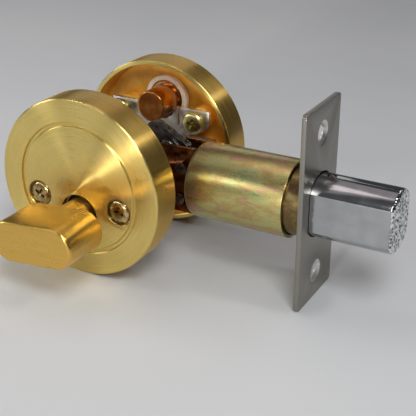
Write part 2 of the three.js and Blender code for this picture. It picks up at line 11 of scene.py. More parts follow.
import bmesh
import bpy
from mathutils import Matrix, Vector


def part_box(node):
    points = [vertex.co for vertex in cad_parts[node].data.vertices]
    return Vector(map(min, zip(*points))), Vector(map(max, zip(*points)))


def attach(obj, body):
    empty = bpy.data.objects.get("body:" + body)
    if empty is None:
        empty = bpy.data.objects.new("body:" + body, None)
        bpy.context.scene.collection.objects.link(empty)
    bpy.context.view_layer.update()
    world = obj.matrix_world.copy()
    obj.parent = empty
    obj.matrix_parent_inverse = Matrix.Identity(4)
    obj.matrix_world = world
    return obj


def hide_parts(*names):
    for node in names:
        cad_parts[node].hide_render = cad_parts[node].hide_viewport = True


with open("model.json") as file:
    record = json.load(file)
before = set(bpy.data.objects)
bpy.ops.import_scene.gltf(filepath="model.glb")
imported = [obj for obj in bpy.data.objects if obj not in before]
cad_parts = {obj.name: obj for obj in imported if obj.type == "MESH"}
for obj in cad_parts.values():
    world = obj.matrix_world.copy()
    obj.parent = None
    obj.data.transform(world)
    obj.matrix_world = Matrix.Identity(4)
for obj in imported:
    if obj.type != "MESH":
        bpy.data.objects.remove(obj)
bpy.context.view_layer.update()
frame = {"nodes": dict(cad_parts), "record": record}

MM = 0.001

# %% [markdown]
# ## Where things are
# A lock fitter measures from the spindle, from the middle of the latch tube and from the middle of the
# door. Those three lines are read off the CAD nodes here, and every piece below is placed from them
# in millimetres: X from the spindle to the bolt's end, Y from the room outwards, Z up.

# %% Axes of the lock
def middle(node):
    low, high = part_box(node)
    return (low + high) / 2


room_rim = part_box("inside_rose")[1].y
outer_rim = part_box("outside_rose")[0].y
lock = Vector((middle("crank_hub").x, (room_rim + outer_rim) / 2, middle("latch_sleeve").z))


def at(x=0.0, y=0.0, z=0.0):
    return lock + Vector((x, y, z)) * MM


def measured(node):
    """Lowest and highest corner of a CAD node, in millimetres from the lock's axes."""
    return [(corner - lock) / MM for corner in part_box(node)]


ALONG_X, ALONG_Y, ALONG_Z = Vector((1, 0, 0)), Vector((0, 1, 0)), Vector((0, 0, 1))
spindle_z = (middle("crank_hub").z - lock.z) / MM
rose_z = (middle("inside_rose").z - lock.z) / MM
home = {node: body for body, nodes in frame["record"]["behaviour"]["bodies"].items() for node in nodes}
print("lock axes at", [round(v / MM, 2) for v in lock], "spindle", round(spindle_z, 2))

# %% [markdown]
# ## Camera and light
# The lock lies on a pale table: the bottoms of both roses and the faceplate's lower edge touch it, so
# the table is a plane through those three places and leans a little. A long lens from a third of a
# metre keeps the roses round.

# %% Camera
AZIMUTH, ELEVATION, ROLL = (math.radians(angle) for angle in (28.76, 25.02, 0.22))
LENS, DISTANCE = 80.94, 305.7
back = Vector((math.sin(AZIMUTH) * math.cos(ELEVATION), -math.cos(AZIMUTH) * math.cos(ELEVATION),
               math.sin(ELEVATION)))
looked_at = Vector((-2.42, 12.3, 21.75)) * MM
camera = bpy.data.objects.new("camera", bpy.data.cameras.new("camera"))
bpy.context.scene.collection.objects.link(camera)
camera.data.lens = LENS
camera.data.clip_start = 0.01
camera.location = looked_at + back * DISTANCE * MM
camera.rotation_euler = (-back).to_track_quat("-Z", "Y").to_euler()
camera.rotation_euler.rotate_axis("Z", ROLL)
bpy.context.scene.camera = camera
bpy.context.scene.view_settings.view_transform = "Standard"
print("camera at", [round(v / MM, 1) for v in camera.location], "mm")


# %% Colours, nodes and finishes
def srgb(code, alpha=1.0):
    """A hex colour as the linear numbers that a shader works with."""
    parts = [int(code[i:i + 2], 16) / 255 for i in (0, 2, 4)]
    return (*[c / 12.92 if c <= 0.04045 else ((c + 0.055) / 1.055) ** 2.4 for c in parts], alpha)


def add(tree, kind, sockets=None, stops=None, **settings):
    """Adds one node, sets its settings, and fills its sockets with numbers or with links."""
    made = tree.nodes.new("ShaderNode" + kind)
    for name, value in settings.items():
        setattr(made, name, value)
    for socket, value in (sockets or {}).items():
        if isinstance(value, bpy.types.NodeSocket):
            tree.links.new(value, made.inputs[socket])
        else:
            made.inputs[socket].default_value = value
    if stops:
        elements = made.color_ramp.elements
        while len(elements) < len(stops):
            elements.new(0.5)
        for element, (place, colour) in zip(elements, stops):
            element.position = place
            element.color = srgb(colour)
    return made


def finish(name, **shader_numbers):
    """A new material with its shader: numbers that are the same all over go on the shader itself."""
    material = bpy.data.materials.new(name)
    material.use_nodes = True
    tree = material.node_tree
    tree.nodes.clear()
    shader = add(tree, "BsdfPrincipled", {key.replace("_", " "): v for key, v in shader_numbers.items()})
    add(tree, "OutputMaterial", {"Surface": shader.outputs["BSDF"]})
    place = add(tree, "TexCoord").outputs["Object"]
    return material, tree, shader, place


def feed(shader, outputs):
    """Joins each output to the shader's socket of that name."""
    for socket, output in outputs.items():
        shader.id_data.links.new(output, shader.inputs[socket])


# %% Table, room and lamps
# The table is matt and pale, faintly clouded and gritty, and holds soft shadows.
table_finish, tree, shader, place = finish("matt_table", Roughness=0.62)
cloud = add(tree, "TexNoise", {"Vector": place, "Scale": 9.0, "Detail": 3.0})
tint = add(tree, "ValToRGB", {"Fac": cloud.outputs["Fac"]}, stops=[(0.3, "CFD2D5"), (0.7, "D6D8DA")])
speck = add(tree, "TexNoise", {"Vector": place, "Scale": 900.0, "Detail": 2.0})
grit = add(tree, "Bump", {"Height": speck.outputs["Fac"], "Strength": 0.05, "Distance": 0.0002})
feed(shader, {"Base Color": tint.outputs["Color"], "Normal": grit.outputs["Normal"]})

rose_foot = Vector((lock.x, 0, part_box("inside_rose")[0].z))
plate_foot = Vector((middle("faceplate").x, 0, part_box("faceplate")[0].z))
lean = math.atan2(rose_foot.z - plate_foot.z, plate_foot.x - rose_foot.x)
bpy.ops.mesh.primitive_plane_add(size=6.0, location=plate_foot, rotation=(0, lean, 0))
table = bpy.context.object
table.name = "table_top"
table.data.materials.append(table_finish)
print("table leans", round(math.degrees(lean), 2), "degrees")

# The room is a little brighter on the camera's side of the lock than it is behind the table.
FRONT_GLOW, BACK_GLOW = 0.12, 0.07
world = bpy.data.worlds.new("studio")
bpy.context.scene.world = world
world.use_nodes = True
room = world.node_tree
heading = add(room, "SeparateXYZ", {"Vector": add(room, "TexCoord").outputs["Generated"]}).outputs["Y"]
glow = add(room, "MapRange", {"Value": heading, "From Min": -0.45, "From Max": 0.25,
                              "To Min": FRONT_GLOW, "To Max": BACK_GLOW}).outputs["Result"]
room.links.new(glow, room.nodes["Background"].inputs["Strength"])
room.nodes["Background"].inputs["Color"].default_value = srgb("FBFCFF")


def softbox(name, direction, distance, width, depth, watts, colour="FFFFFF"):
    """A flat lamp at this distance from the lock's axes, facing them."""
    lamp = bpy.data.lights.new(name, "AREA")
    lamp.shape, lamp.size, lamp.size_y, lamp.energy = "RECTANGLE", width, depth, watts
    lamp.color = srgb(colour)[:3]
    holder = bpy.data.objects.new(name, lamp)
    bpy.context.scene.collection.objects.link(holder)
    towards = Vector(direction).normalized()
    holder.location = lock + towards * distance
    holder.rotation_euler = towards.to_track_quat("Z", "Y").to_euler()


# The overhead boxes light the tops and the bolt, and the main box the faces. The small lamps give the
# narrow highlights that turned metal spreads into fans.
softbox("overhead_softbox", (-0.20, 0.14, 1.0), 0.60, 0.75, 0.46, 0.42, "FFF1F0")
softbox("bolt_softbox", (-0.14, 0.10, 0.98), 0.60, 0.18, 0.24, 0.15, "FFF1F0")
softbox("main_softbox", (0.45, -0.52, 0.73), 0.72, 0.26, 0.26, 2.5)
softbox("front_strip", (-0.40, -0.72, 0.46), 1.0, 0.60, 0.08, 1.3)
softbox("front_lamp", (0.12, -0.98, 0.16), 1.0, 0.055, 0.055, 3.0, "FFF9EE")
softbox("right_lamp", (0.68, 0.12, 0.68), 0.75, 0.08, 0.08, 0.5)
softbox("rear_right_strip", (0.42, 0.74, 0.46), 0.80, 0.07, 0.07, 0.10)
softbox("rear_left_softbox", (-0.44, 0.79, 0.42), 0.90, 0.50, 0.30, 0.34)
softbox("left_lamp", (-0.85, -0.35, 0.40), 0.45, 0.14, 0.14, 0.42)

# %% [markdown]
# ## Tools for shaping
# Nearly all of a lock is turned, punched or drilled. Turned parts are drawn as half a section and spun
# round their axis. Drilled holes are cut with a solid tool, and sharp rings are then bevelled, because
# a real edge is always broken and catches a line of light.

# %% Picking up, putting down and selecting
def clear():
    bpy.ops.object.select_all(action="DESELECT")


def only(piece):
    clear()
    piece.select_set(True)
    bpy.context.view_layer.objects.active = piece


def named(name):
    """Names the object just made and moves its place into its mesh."""
    piece = bpy.context.object
    only(piece)
    bpy.ops.object.transform_apply(location=True, rotation=True, scale=True)
    piece.name = piece.data.name = name
    return piece


def pick(piece, kind, test):
    """In edit mode, selects the faces or edges whose corners pass the test, and says how many."""
    bpy.ops.mesh.select_mode(type=kind)
    bpy.ops.mesh.select_all(action="DESELECT")
    mesh = bmesh.from_edit_mesh(piece.data)
    parts = {"FACE": mesh.faces, "EDGE": mesh.edges, "VERT": mesh.verts}[kind]
    count = 0
    for part in list(parts):
        corners = [part.co] if kind == "VERT" else [v.co for v in part.verts]
        if test([(corner - lock) / MM for corner in corners]):
            part.select_set(True)
            count += 1
    bmesh.update_edit_mesh(piece.data)
    return count


def edit(piece, work):
    """Does some work in edit mode and comes back."""
    only(piece)
    bpy.ops.object.mode_set(mode="EDIT")
    work()
    bpy.ops.object.mode_set(mode="OBJECT")


def report(piece):
    """Prints the piece's size, and how many edges are not shared by exactly two faces."""
    mesh = bmesh.new()
    mesh.from_mesh(piece.data)
    loose = sum(1 for edge in mesh.edges if not edge.is_manifold)
    volume = mesh.calc_volume(signed=True) / MM ** 3
    mesh.free()
    faces = sum(len(face.vertices) - 2 for face in piece.data.polygons)
    print(f"{piece.name}: {faces} triangles, {loose} open edges, {volume:.1f} mm3")


# %% The lathe
def turned(name, axis, centre, profile, steps=96):
    """Spins half a section round an axis. Each corner is (radius, place along the axis[, edge radius]);
    a section that starts and ends off the axis repeats its first corner and makes a ring."""
    outward = ALONG_X if axis == ALONG_Z else ALONG_Z
    corners = [centre + (outward * corner[0] + axis * corner[1]) * MM for corner in profile]
    clear()
    bpy.ops.mesh.primitive_plane_add(size=MM, location=corners[0])
    bpy.ops.object.mode_set(mode="EDIT")
    bpy.ops.mesh.select_mode(type="VERT")
    bpy.ops.mesh.select_all(action="SELECT")
    bpy.ops.mesh.merge(type="CENTER")
    for here, there in zip(corners, corners[1:]):
        bpy.ops.mesh.extrude_vertices_move(TRANSFORM_OT_translate={"value": there - here})
    bpy.ops.mesh.select_all(action="SELECT")
    bpy.ops.mesh.spin(steps=steps, angle=math.tau, center=centre, axis=axis)
    bpy.ops.mesh.select_all(action="SELECT")
    bpy.ops.mesh.remove_doubles(threshold=0.003 * MM)
    bpy.ops.mesh.normals_make_consistent(inside=False)
    bpy.ops.object.mode_set(mode="OBJECT")
    piece = named(name)
    for corner in profile:
        if len(corner) == 3:
            round_ring(piece, axis, centre, corner[0], corner[1], corner[2])
    return piece


def round_ring(piece, axis, centre, radius, along, width, segments=4):
    """Bevels the ring of edges at this radius and this place along the axis."""
    middle_of_ring = (centre - lock) / MM

    def on_ring(corners):
        for corner in corners:
            reach = corner - middle_of_ring
            height = reach.dot(axis)
            if abs(height - along) > 0.01 or abs((reach - axis * height).length - radius) > 0.01:
                return False
        return True

    def bevel():
        if pick(piece, "EDGE", on_ring):
            bpy.ops.mesh.bevel(offset=width * MM, segments=segments, affect="EDGES", clamp_overlap=True)

    edit(piece, bevel)


# %% Rods, bars, cutting and bevelling
def rod(axis, centre, radius, low, high, sides=48):
    """A plain round bar, used as a cutting tool or as a start."""
    clear()
    turn = {0: (0, math.pi / 2, 0), 1: (math.pi / 2, 0, 0), 2: (0, 0, 0)}[list(axis).index(1)]
    bpy.ops.mesh.primitive_cylinder_add(vertices=sides, radius=radius * MM, depth=(high - low) * MM,
                                        location=centre + axis * (low + high) / 2 * MM, rotation=turn)
    return named("tool")


def bar(low, high):
    """A plain block between two corners."""
    clear()
    bpy.ops.mesh.primitive_cube_add(size=1, location=(low + high) / 2, scale=high - low)
    return named("tool")


def combine(piece, tools, how="DIFFERENCE"):
    """Cuts the tools out of the piece, or welds them to it, and removes them."""
    for tool in tools:
        change = piece.modifiers.new("combine", "BOOLEAN")
        change.operation, change.object, change.solver = how, tool, "EXACT"
        only(piece)
        bpy.ops.object.modifier_apply(modifier=change.name)
        bpy.data.objects.remove(tool)
    return piece


def soften(piece, width, angle=35, segments=3):
    """Bevels every edge sharper than the angle."""
    edge = piece.modifiers.new("edge", "BEVEL")
    edge.width, edge.segments = width * MM, segments
    edge.limit_method, edge.angle_limit = "ANGLE", math.radians(angle)
    only(piece)
    bpy.ops.object.modifier_apply(modifier=edge.name)


def arm(name, ends, low, high, sides=64):
    """A flat link: the hull of round ends, each (x, z, radius), between two places along Y."""
    clear()
    rods = [rod(ALONG_Y, at(x, 0, z), radius, low, high, sides) for x, z, radius in ends]
    for one in rods:
        one.select_set(True)
    bpy.ops.object.join()

    def wrap():
        bpy.ops.mesh.select_all(action="SELECT")
        bpy.ops.mesh.convex_hull()
        bpy.ops.mesh.select_all(action="SELECT")
        bpy.ops.mesh.dissolve_limited(angle_limit=math.radians(0.5))

    edit(bpy.context.object, wrap)
    return named(name)


def fit(piece, slot, *nodes, angle=32):
    """Smooths the piece, and hangs it on the CAD body of the nodes that it stands for."""
    only(piece)
    bpy.ops.object.shade_smooth_by_angle(angle=math.radians(angle))
    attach(piece, home[nodes[0]])
    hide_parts(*nodes)
    report(piece)


def paint(piece, material, test=None):
    """Gives the whole piece a material, or only the faces whose corners pass the test."""
    piece.data.materials.append(material)
    if test:
        def assign():
            pick(piece, "FACE", test)
            piece.active_material_index = len(piece.data.materials) - 1
            bpy.ops.object.material_slot_assign()
        edit(piece, assign)


# %% [markdown]
# ## Satin brass, turned
# The roses are solid brass, faced on a lathe and brushed while they spin, then lacquered. The grit
# leaves rings of fine grooves, so a lamp spreads into a fan from the middle to the edge. Anisotropic
# gloss does that: its tangent runs round the axis, and a quarter turn puts the rough way across the
# grooves. Brass of about a third zinc is yellow, and goes orange where it mirrors itself.

# %% Turned satin brass
def round_axis(tree, place, middle_place):
    """The pattern's place from a turned part's middle, the same without its Y, and radius plus depth,
    which grows from groove to groove both across a face and along a wall."""
    centred = add(tree, "Mapping", {"Vector": place, "Location": -middle_place}).outputs["Vector"]
    flat = add(tree, "VectorMath", {0: centred, 1: (1, 0, 1)}, operation="MULTIPLY").outputs["Vector"]
    radius = add(tree, "VectorMath", {0: flat}, operation="LENGTH").outputs["Value"]
    depth = add(tree, "SeparateXYZ", {"Vector": centred}).outputs["Y"]
    across = add(tree, "Math", {0: radius, 1: depth}, operation="ADD").outputs["Value"]
    return centred, flat, across


def turned_brass(name, dark, light):
    material, tree, shader, place = finish(name, Metallic=1.0, Anisotropic=0.95, Anisotropic_Rotation=0.25)
    centred, flat, across = round_axis(tree, place, at(0, 0, rose_z))
    heading = add(tree, "VectorMath", {0: flat}, operation="NORMALIZE").outputs["Vector"]
    # Real grooves are 0.1 mm apart; these are drawn 0.6 mm apart so that they show.
    fine = add(tree, "Math", {0: across, 1: 1 / (0.6 * MM)}, operation="MULTIPLY").outputs["Value"]
    lift = add(tree, "CombineXYZ", {"Y": fine}).outputs["Vector"]
    groove = add(tree, "VectorMath", {0: heading, 1: (3.0, 0, 3.0), 2: lift}, operation="MULTIPLY_ADD")
    grain = add(tree, "TexNoise", {"Vector": groove.outputs["Vector"], "Scale": 1.0, "Detail": 3.0,
                                   "Roughness": 0.6}).outputs["Fac"]
    handled = add(tree, "TexNoise", {"Vector": place, "Scale": 1 / (14 * MM), "Detail": 2.0})
    # Sockets 6 and 7 of a colour mix are its two colours, and its output 2 is the mixed one.
    tone = add(tree, "Mix", {"Factor": grain, 6: srgb(dark), 7: srgb(light)}, data_type="RGBA")
    worn = add(tree, "Math", {0: grain, 1: handled.outputs["Fac"]}, operation="ADD").outputs["Value"]
    dull = add(tree, "MapRange", {"Value": worn, "From Min": 0.6, "From Max": 1.4, "To Min": 0.24,
                                  "To Max": 0.40})
    bump = add(tree, "Bump", {"Height": grain, "Strength": 0.08, "Distance": 0.02 * MM})
    around = add(tree, "VectorMath", {0: (0, 1, 0), 1: centred}, operation="CROSS_PRODUCT")
    tangent = add(tree, "VectorTransform", {"Vector": around.outputs["Vector"]}, vector_type="VECTOR",
                  convert_from="OBJECT", convert_to="WORLD")
    feed(shader, {"Base Color": tone.outputs[2], "Roughness": dull.outputs["Result"],
                  "Normal": bump.outputs["Normal"], "Tangent": tangent.outputs["Vector"]})
    return material


satin_brass_turned = turned_brass("satin_brass_turned", "D8BD68", "F2DA8C")
# The rim's copy is darker and more orange than the face's: painted shade and warm reflected light on the
# same brass.
satin_brass_rim_painted_shade = turned_brass("satin_brass_rim_painted_shade", "C29A4A", "E4C06E")


# %% Brass inside the cups, with a painted glow
def drawn_brass():
    """The press leaves the inside bright and slightly wavy, and nobody brushes it. Its warm orange glow is
    painted into the colour for light that bounces about in the cup, so three quarters of its shading is
    not metallic."""
    material, tree, shader, place = finish("cup_brass_painted_glow", Metallic=0.25)
    stain = add(tree, "TexNoise", {"Vector": place, "Scale": 1 / (6 * MM), "Detail": 4.0})
    # These bright orange stops are a painted glow, standing in for light bounced about in the cup.
    tone = add(tree, "ValToRGB", {"Fac": stain.outputs["Fac"]},
               stops=[(0.3, "DC9C28"), (0.55, "EEB444"), (0.75, "FAC864")])
    fine = add(tree, "TexNoise", {"Vector": place, "Scale": 1 / (0.6 * MM), "Detail": 3.0})
    gloss = add(tree, "MapRange", {"Value": fine.outputs["Fac"], "To Min": 0.32, "To Max": 0.46})
    wave = add(tree, "Bump", {"Height": stain.outputs["Fac"], "Strength": 0.25, "Distance": 0.08 * MM})
    feed(shader, {"Base Color": tone.outputs["Color"], "Roughness": gloss.outputs["Result"],
                  "Normal": wave.outputs["Normal"]})
    return material


cup_brass_painted_glow = drawn_brass()

# %% [markdown]
# ## The roses
# A rose is a shallow cup: 58 mm across and 11 mm deep, with a ring groove cut in the room-side face.
# It could be a cylinder hollowed with a boolean, but a lathe section gives the groove, the walls and
# the rounded edges at once. The three holes are drilled afterwards through one flat central face.

# %% Inside rose
room_low, room_high = measured("inside_rose")
ROSE = (room_high.x - room_low.x) / 2
WALL, FACE = 1.6, 2.1
GROOVE_OUT, GROOVE_IN, GROOVE_DEEP, GROOVE_SLOPE = ROSE - 7.3, ROSE - 8.9, 0.7, 0.32
face, rim = room_low.y, room_high.y
rose_axis = at(0, 0, rose_z)

inside_rose = turned("inside_rose_turned", ALONG_Y, rose_axis, [
    (0, face), (GROOVE_IN, face, 0.12), (GROOVE_IN + GROOVE_SLOPE, face + GROOVE_DEEP, 0.1),
    (GROOVE_OUT - GROOVE_SLOPE, face + GROOVE_DEEP, 0.1), (GROOVE_OUT, face, 0.12), (ROSE, face, 0.6),
    (ROSE, rim, 0.25), (ROSE - WALL, rim, 0.25), (ROSE - WALL, face + FACE), (0, face + FACE)], steps=160)


def from_middle(corner):
    """Distance from the axis of the roses."""
    return math.hypot(corner.x, corner.z - rose_z)


def one_flat_face():
    """The central disc becomes one face on each side, so that the drilling leaves no slivers."""
    for level, reach in ((face, GROOVE_IN), (face + FACE, ROSE - WALL)):
        def on_disc(corners):
            return all(abs(c.y - level) < 0.005 and from_middle(c) < reach + 0.01 for c in corners)
        pick(inside_rose, "FACE", on_disc)
        bpy.ops.mesh.dissolve_faces()


edit(inside_rose, one_flat_face)

SCREW_X, SCREW_Z = 15.0, (middle("mounting_screw_left").z - lock.z) / MM
NECK_HOLE, HEAD_HOLE = 6.7, 4.35
drilled = [(0, spindle_z, NECK_HOLE), (-SCREW_X, SCREW_Z, HEAD_HOLE), (SCREW_X, SCREW_Z, HEAD_HOLE)]
combine(inside_rose, [rod(ALONG_Y, at(x, 0, z), radius, face - 1, face + FACE + 1, 64)
                      for x, z, radius in drilled])
for x, z, radius in drilled:
    round_ring(inside_rose, ALONG_Y, at(x, 0, z), radius, face, 0.3)
paint(inside_rose, satin_brass_turned)


def on_rim(corners):
    return all(from_middle(c) > ROSE - 0.02 for c in corners)


def inside_cup(corners):
    return all(c.y > face + FACE - 0.01 and from_middle(c) < ROSE - WALL + 0.01 for c in corners)


# The outer wall gets the darker, oranger copy: painted shade and reflection.
paint(inside_rose, satin_brass_rim_painted_shade, on_rim)
# The cup's inside gets the brass with the painted glow.
paint(inside_rose, cup_brass_painted_glow, inside_cup)
fit(inside_rose, "satin_brass", "inside_rose")

# %% Outside rose, with the feet and bosses that carry the plate
outer_low, outer_high = measured("outside_rose")
outer_rim_y, outer_face = outer_low.y, outer_high.y
floor_y = outer_face - FACE
# Most pieces that touch keep this gap in the CAD, and the new ones keep it too.
GAP = 0.3
outside_rose = turned("outside_rose_turned", ALONG_Y, rose_axis, [
    (0, outer_face), (ROSE, outer_face, 0.6), (ROSE, outer_rim_y, 0.25),
    (ROSE - WALL, outer_rim_y, 0.25), (ROSE - WALL, floor_y, 0.8), (0, floor_y)], steps=160)
PLATE_SCREW_Z = (middle("plate_screw_left").z - lock.z) / MM
FOOT, FOOT_HIGH, BOSS, FOOT_HOLE = 6.4, 2.6, 4.0, 2.4
plate_back = measured("outside_plate")[1].y
raised = [(side * SCREW_X, SCREW_Z, FOOT, floor_y - FOOT_HIGH) for side in (-1, 1)]
raised += [(side * SCREW_X, PLATE_SCREW_Z, BOSS, plate_back + GAP) for side in (-1, 1)]
combine(outside_rose, [rod(ALONG_Y, at(x, 0, z), radius, top, floor_y + 0.5)
                       for x, z, radius, top in raised], "UNION")
combine(outside_rose, [rod(ALONG_Y, at(x, 0, z), FOOT_HOLE, top - 1, floor_y - 0.4, 32)
                       for x, z, _, top in raised])
for x, z, radius, top in raised:
    round_ring(outside_rose, ALONG_Y, at(x, 0, z), radius, top, 0.4, 3)
paint(outside_rose, satin_brass_turned)
# The outer wall gets the darker, oranger copy: painted shade and reflection.
paint(outside_rose, satin_brass_rim_painted_shade, on_rim)


def inside_outer_cup(corners):
    return all(c.y < floor_y + 0.01 and from_middle(c) < ROSE - WALL + 0.01 for c in corners)


# The cup's inside gets the brass with the painted glow.
paint(outside_rose, cup_brass_painted_glow, inside_outer_cup)
fit(outside_rose, "satin_brass", "outside_rose")

# %% [markdown]
# ## The thumbturn
# The lever is a flat bar with round ends, cast in brass and belt-brushed round its edge, on a neck that
# flares into its back. Two cylinders and a hull make the bar, and a turned neck is welded to it. The
# belt leaves grooves round the bar, so the gloss spreads along Y on the edge.

# %% Belt-brushed brass
def brushed_brass(name, spread, grooves, along):
    """Grooves run the long way of the pattern, and the gloss spreads along the other way."""
    material, tree, shader, place = finish(name, Metallic=1.0, Anisotropic=spread)
    grain_place = add(tree, "VectorMath", {0: place, 1: grooves}, operation="MULTIPLY")
    grain = add(tree, "TexNoise", {"Vector": grain_place.outputs["Vector"], "Scale": 1.0, "Detail": 4.0})
    tone = add(tree, "Mix", {"Factor": grain.outputs["Fac"], 6: srgb("D6A950"), 7: srgb("E6BE66")},
               data_type="RGBA")
    soft = add(tree, "TexNoise", {"Vector": place, "Scale": 1 / (7 * MM), "Detail": 3.0})
    worn = add(tree, "Math", {0: grain.outputs["Fac"], 1: soft.outputs["Fac"]}, operation="ADD")
    dull = add(tree, "MapRange", {"Value": worn.outputs["Value"], "From Min": 0.6, "From Max": 1.4,
                                  "To Min": 0.25, "To Max": 0.33})
    bump = add(tree, "Bump", {"Height": grain.outputs["Fac"], "Strength": 0.02, "Distance": 0.02 * MM})
    tangent = add(tree, "VectorTransform", {"Vector": along}, vector_type="VECTOR",
                  convert_from="OBJECT", convert_to="WORLD")
    feed(shader, {"Base Color": tone.outputs[2], "Roughness": dull.outputs["Result"],
                  "Normal": bump.outputs["Normal"], "Tangent": tangent.outputs["Vector"]})
    return material


# Grooves are 0.4 mm apart on the edge and 0.5 mm apart on the front, and about 0.1 mm apart in life.
satin_brass_belted = brushed_brass("satin_brass_belted", 0.85, (90.0, 1 / (0.4 * MM), 260.0),
                                   (0.0, 1.0, 0.25))
satin_brass_front = brushed_brass("satin_brass_front", 0.3, (90.0, 90.0, 1 / (0.5 * MM)),
                                  (0.1, 0.0, 1.0))

# %% Lever and neck
LEVER_LONG, LEVER_HIGH, LEVER_DEEP = 14.9, 6.6, 16.2
LEVER_EDGE, LEVER_BACK_EDGE = 0.85, 0.35
LEVER_LEAN = math.radians(5.5)
NECK, NECK_FLARE = 5.3, 1.1
lever_low, lever_high = measured("turn_lever")
lever_front, lever_back, neck_end = lever_low.y, lever_low.y + LEVER_DEEP, lever_high.y
reach_x = (LEVER_LONG - LEVER_HIGH) * math.cos(LEVER_LEAN)
reach_z = (LEVER_LONG - LEVER_HIGH) * math.sin(LEVER_LEAN)
round_ends = [(side * reach_x, spindle_z + side * reach_z, LEVER_HIGH) for side in (-1, 1)]
lever = arm("turn_lever_cast", round_ends, lever_front, lever_back, 96)


def level_with(y):
    """A test for edges and faces that lie flat at this place along Y."""
    return lambda corners: all(abs(c.y - y) < 0.01 for c in corners)


def break_edges():
    for y, width, segments in ((lever_front, LEVER_EDGE, 5), (lever_back, LEVER_BACK_EDGE, 3)):
        pick(lever, "EDGE", level_with(y))
        bpy.ops.mesh.bevel(offset=width * MM, segments=segments, affect="EDGES")


edit(lever, break_edges)
flare = [(NECK + NECK_FLARE * (1 - math.sin(a)), lever_back + 0.4 + 2.4 * (1 - math.cos(a)))
         for a in (i * math.pi / 12 for i in range(7))]
neck = turned("neck", ALONG_Y, at(0, 0, spindle_z), [
    (0, lever_back - 1), (NECK + NECK_FLARE, lever_back - 1), *flare, (NECK, neck_end, 0.4),
    (0, neck_end)], 72)
combine(lever, [neck], "UNION")
paint(lever, satin_brass_belted)
blade_low, blade_high = measured("spindle_blade")
socket = bar(at(blade_low.x - GAP, blade_low.y - GAP, blade_low.z - GAP),
             at(blade_high.x + GAP, neck_end + 1, blade_high.z + GAP))
pin_low, pin_high = measured("blade_roll_pin")
cross_hole = rod(ALONG_X, at(0, (pin_low.y + pin_high.y) / 2, spindle_z),
                 (pin_high.y - pin_low.y) / 2 + GAP, -NECK - 1, NECK + 1, 24)
clip_low, clip_high = measured("retaining_clip")
seat_in, seat_low, seat_high = NECK - 0.7, clip_low.y - 0.15, clip_high.y + 0.15
clip_seat = turned("seat", ALONG_Y, at(0, 0, spindle_z), [
    (seat_in, seat_low), (NECK + 1, seat_low), (NECK + 1, seat_high), (seat_in, seat_high),
    (seat_in, seat_low)], 72)
combine(lever, [socket, cross_hole, clip_seat])
paint(lever, satin_brass_front, level_with(lever_front))
fit(lever, "satin_brass", "turn_lever")

# %% [markdown]
# ## Screws
# All four screws are cross-head machine screws. The mounting screws are nickel that has gone brown, and
# the plate screws are zinc with a yellow passivate. The recess is two tapered wings, as the driver's
# tip is, and the thread is a zigzag wound up with a Screw modifier, 0.8 mm for each turn.

# %% Screw finishes
def aged_nickel():
    """Nickel gone brown: dark and dull where the stain is thick, pale and glossy where it is rubbed."""
    material, tree, shader, place = finish("aged_nickel", Metallic=1.0)
    stain = add(tree, "TexNoise", {"Vector": place, "Scale": 1 / (1.4 * MM), "Detail": 4.0})
    tone = add(tree, "ValToRGB", {"Fac": stain.outputs["Fac"]},
               stops=[(0.3, "76623F"), (0.5, "A8905F"), (0.72, "CDB88C")])
    gloss = add(tree, "MapRange", {"Value": stain.outputs["Fac"], "To Min": 0.38, "To Max": 0.16})
    bump = add(tree, "Bump", {"Height": stain.outputs["Fac"], "Strength": 0.3, "Distance": 0.04 * MM})
    feed(shader, {"Base Color": tone.outputs["Color"], "Roughness": gloss.outputs["Result"],
                  "Normal": bump.outputs["Normal"]})
    return material


def yellow_zinc(name, patch_mm, stretch, tones):
    """Zinc plate dipped in chromate: a clear film whose thickness shows as gold, green and rose."""
    material, tree, shader, place = finish(name, Metallic=1.0)
    centred = add(tree, "Mapping", {"Vector": place, "Location": -lock}).outputs["Vector"]
    long_way = add(tree, "VectorMath", {0: centred, 1: (1 / stretch, 1, 1)}, operation="MULTIPLY")
    film = add(tree, "TexNoise", {"Vector": long_way.outputs["Vector"], "Scale": 1 / (patch_mm * MM),
                                  "Detail": 5.0, "Roughness": 0.68, "Distortion": 0.25})
    tone = add(tree, "ValToRGB", {"Fac": film.outputs["Fac"]},
               stops=list(zip((0.28, 0.40, 0.48, 0.56, 0.64, 0.76), tones)))
    # Drawing scratches run along the tube, 0.3 mm apart here and about 0.1 mm in life.
    scratch_place = add(tree, "VectorMath", {0: centred, 1: (120.0, 1 / (0.3 * MM), 1 / (0.3 * MM))},
                        operation="MULTIPLY")
    scratch = add(tree, "TexNoise", {"Vector": scratch_place.outputs["Vector"], "Scale": 1.0,
                                     "Detail": 4.0})
    speck = add(tree, "TexNoise", {"Vector": centred, "Scale": 1 / (0.5 * MM), "Detail": 4.0})
    rough = add(tree, "Math", {0: scratch.outputs["Fac"], 1: speck.outputs["Fac"]}, operation="ADD")
    gloss = add(tree, "MapRange", {"Value": rough.outputs["Value"], "From Min": 0.6, "From Max": 1.4,
                                   "To Min": 0.24, "To Max": 0.38})
    bump = add(tree, "Bump", {"Height": rough.outputs["Value"], "Strength": 0.03, "Distance": 0.03 * MM})
    feed(shader, {"Base Color": tone.outputs["Color"], "Roughness": gloss.outputs["Result"],
                  "Normal": bump.outputs["Normal"]})
    return material


aged_nickel_finish = aged_nickel()
yellow_zinc_small = yellow_zinc("yellow_zinc_screw", 1.6, 1.0,
                                ("98A468", "BDB874", "CDBE7C", "D4C88A", "C8A884", "AEBB7C"))

# %% A cross-head machine screw
PITCH, ROOT, CREST, CORE = 0.8, 1.55, 1.98, 1.3
HEAD, SHANK, THREADED_END = 3.9, 1.9, 12
WING_REACH, WING_HALF, RECESS_DEEP = 2.35, 0.5, 1.5


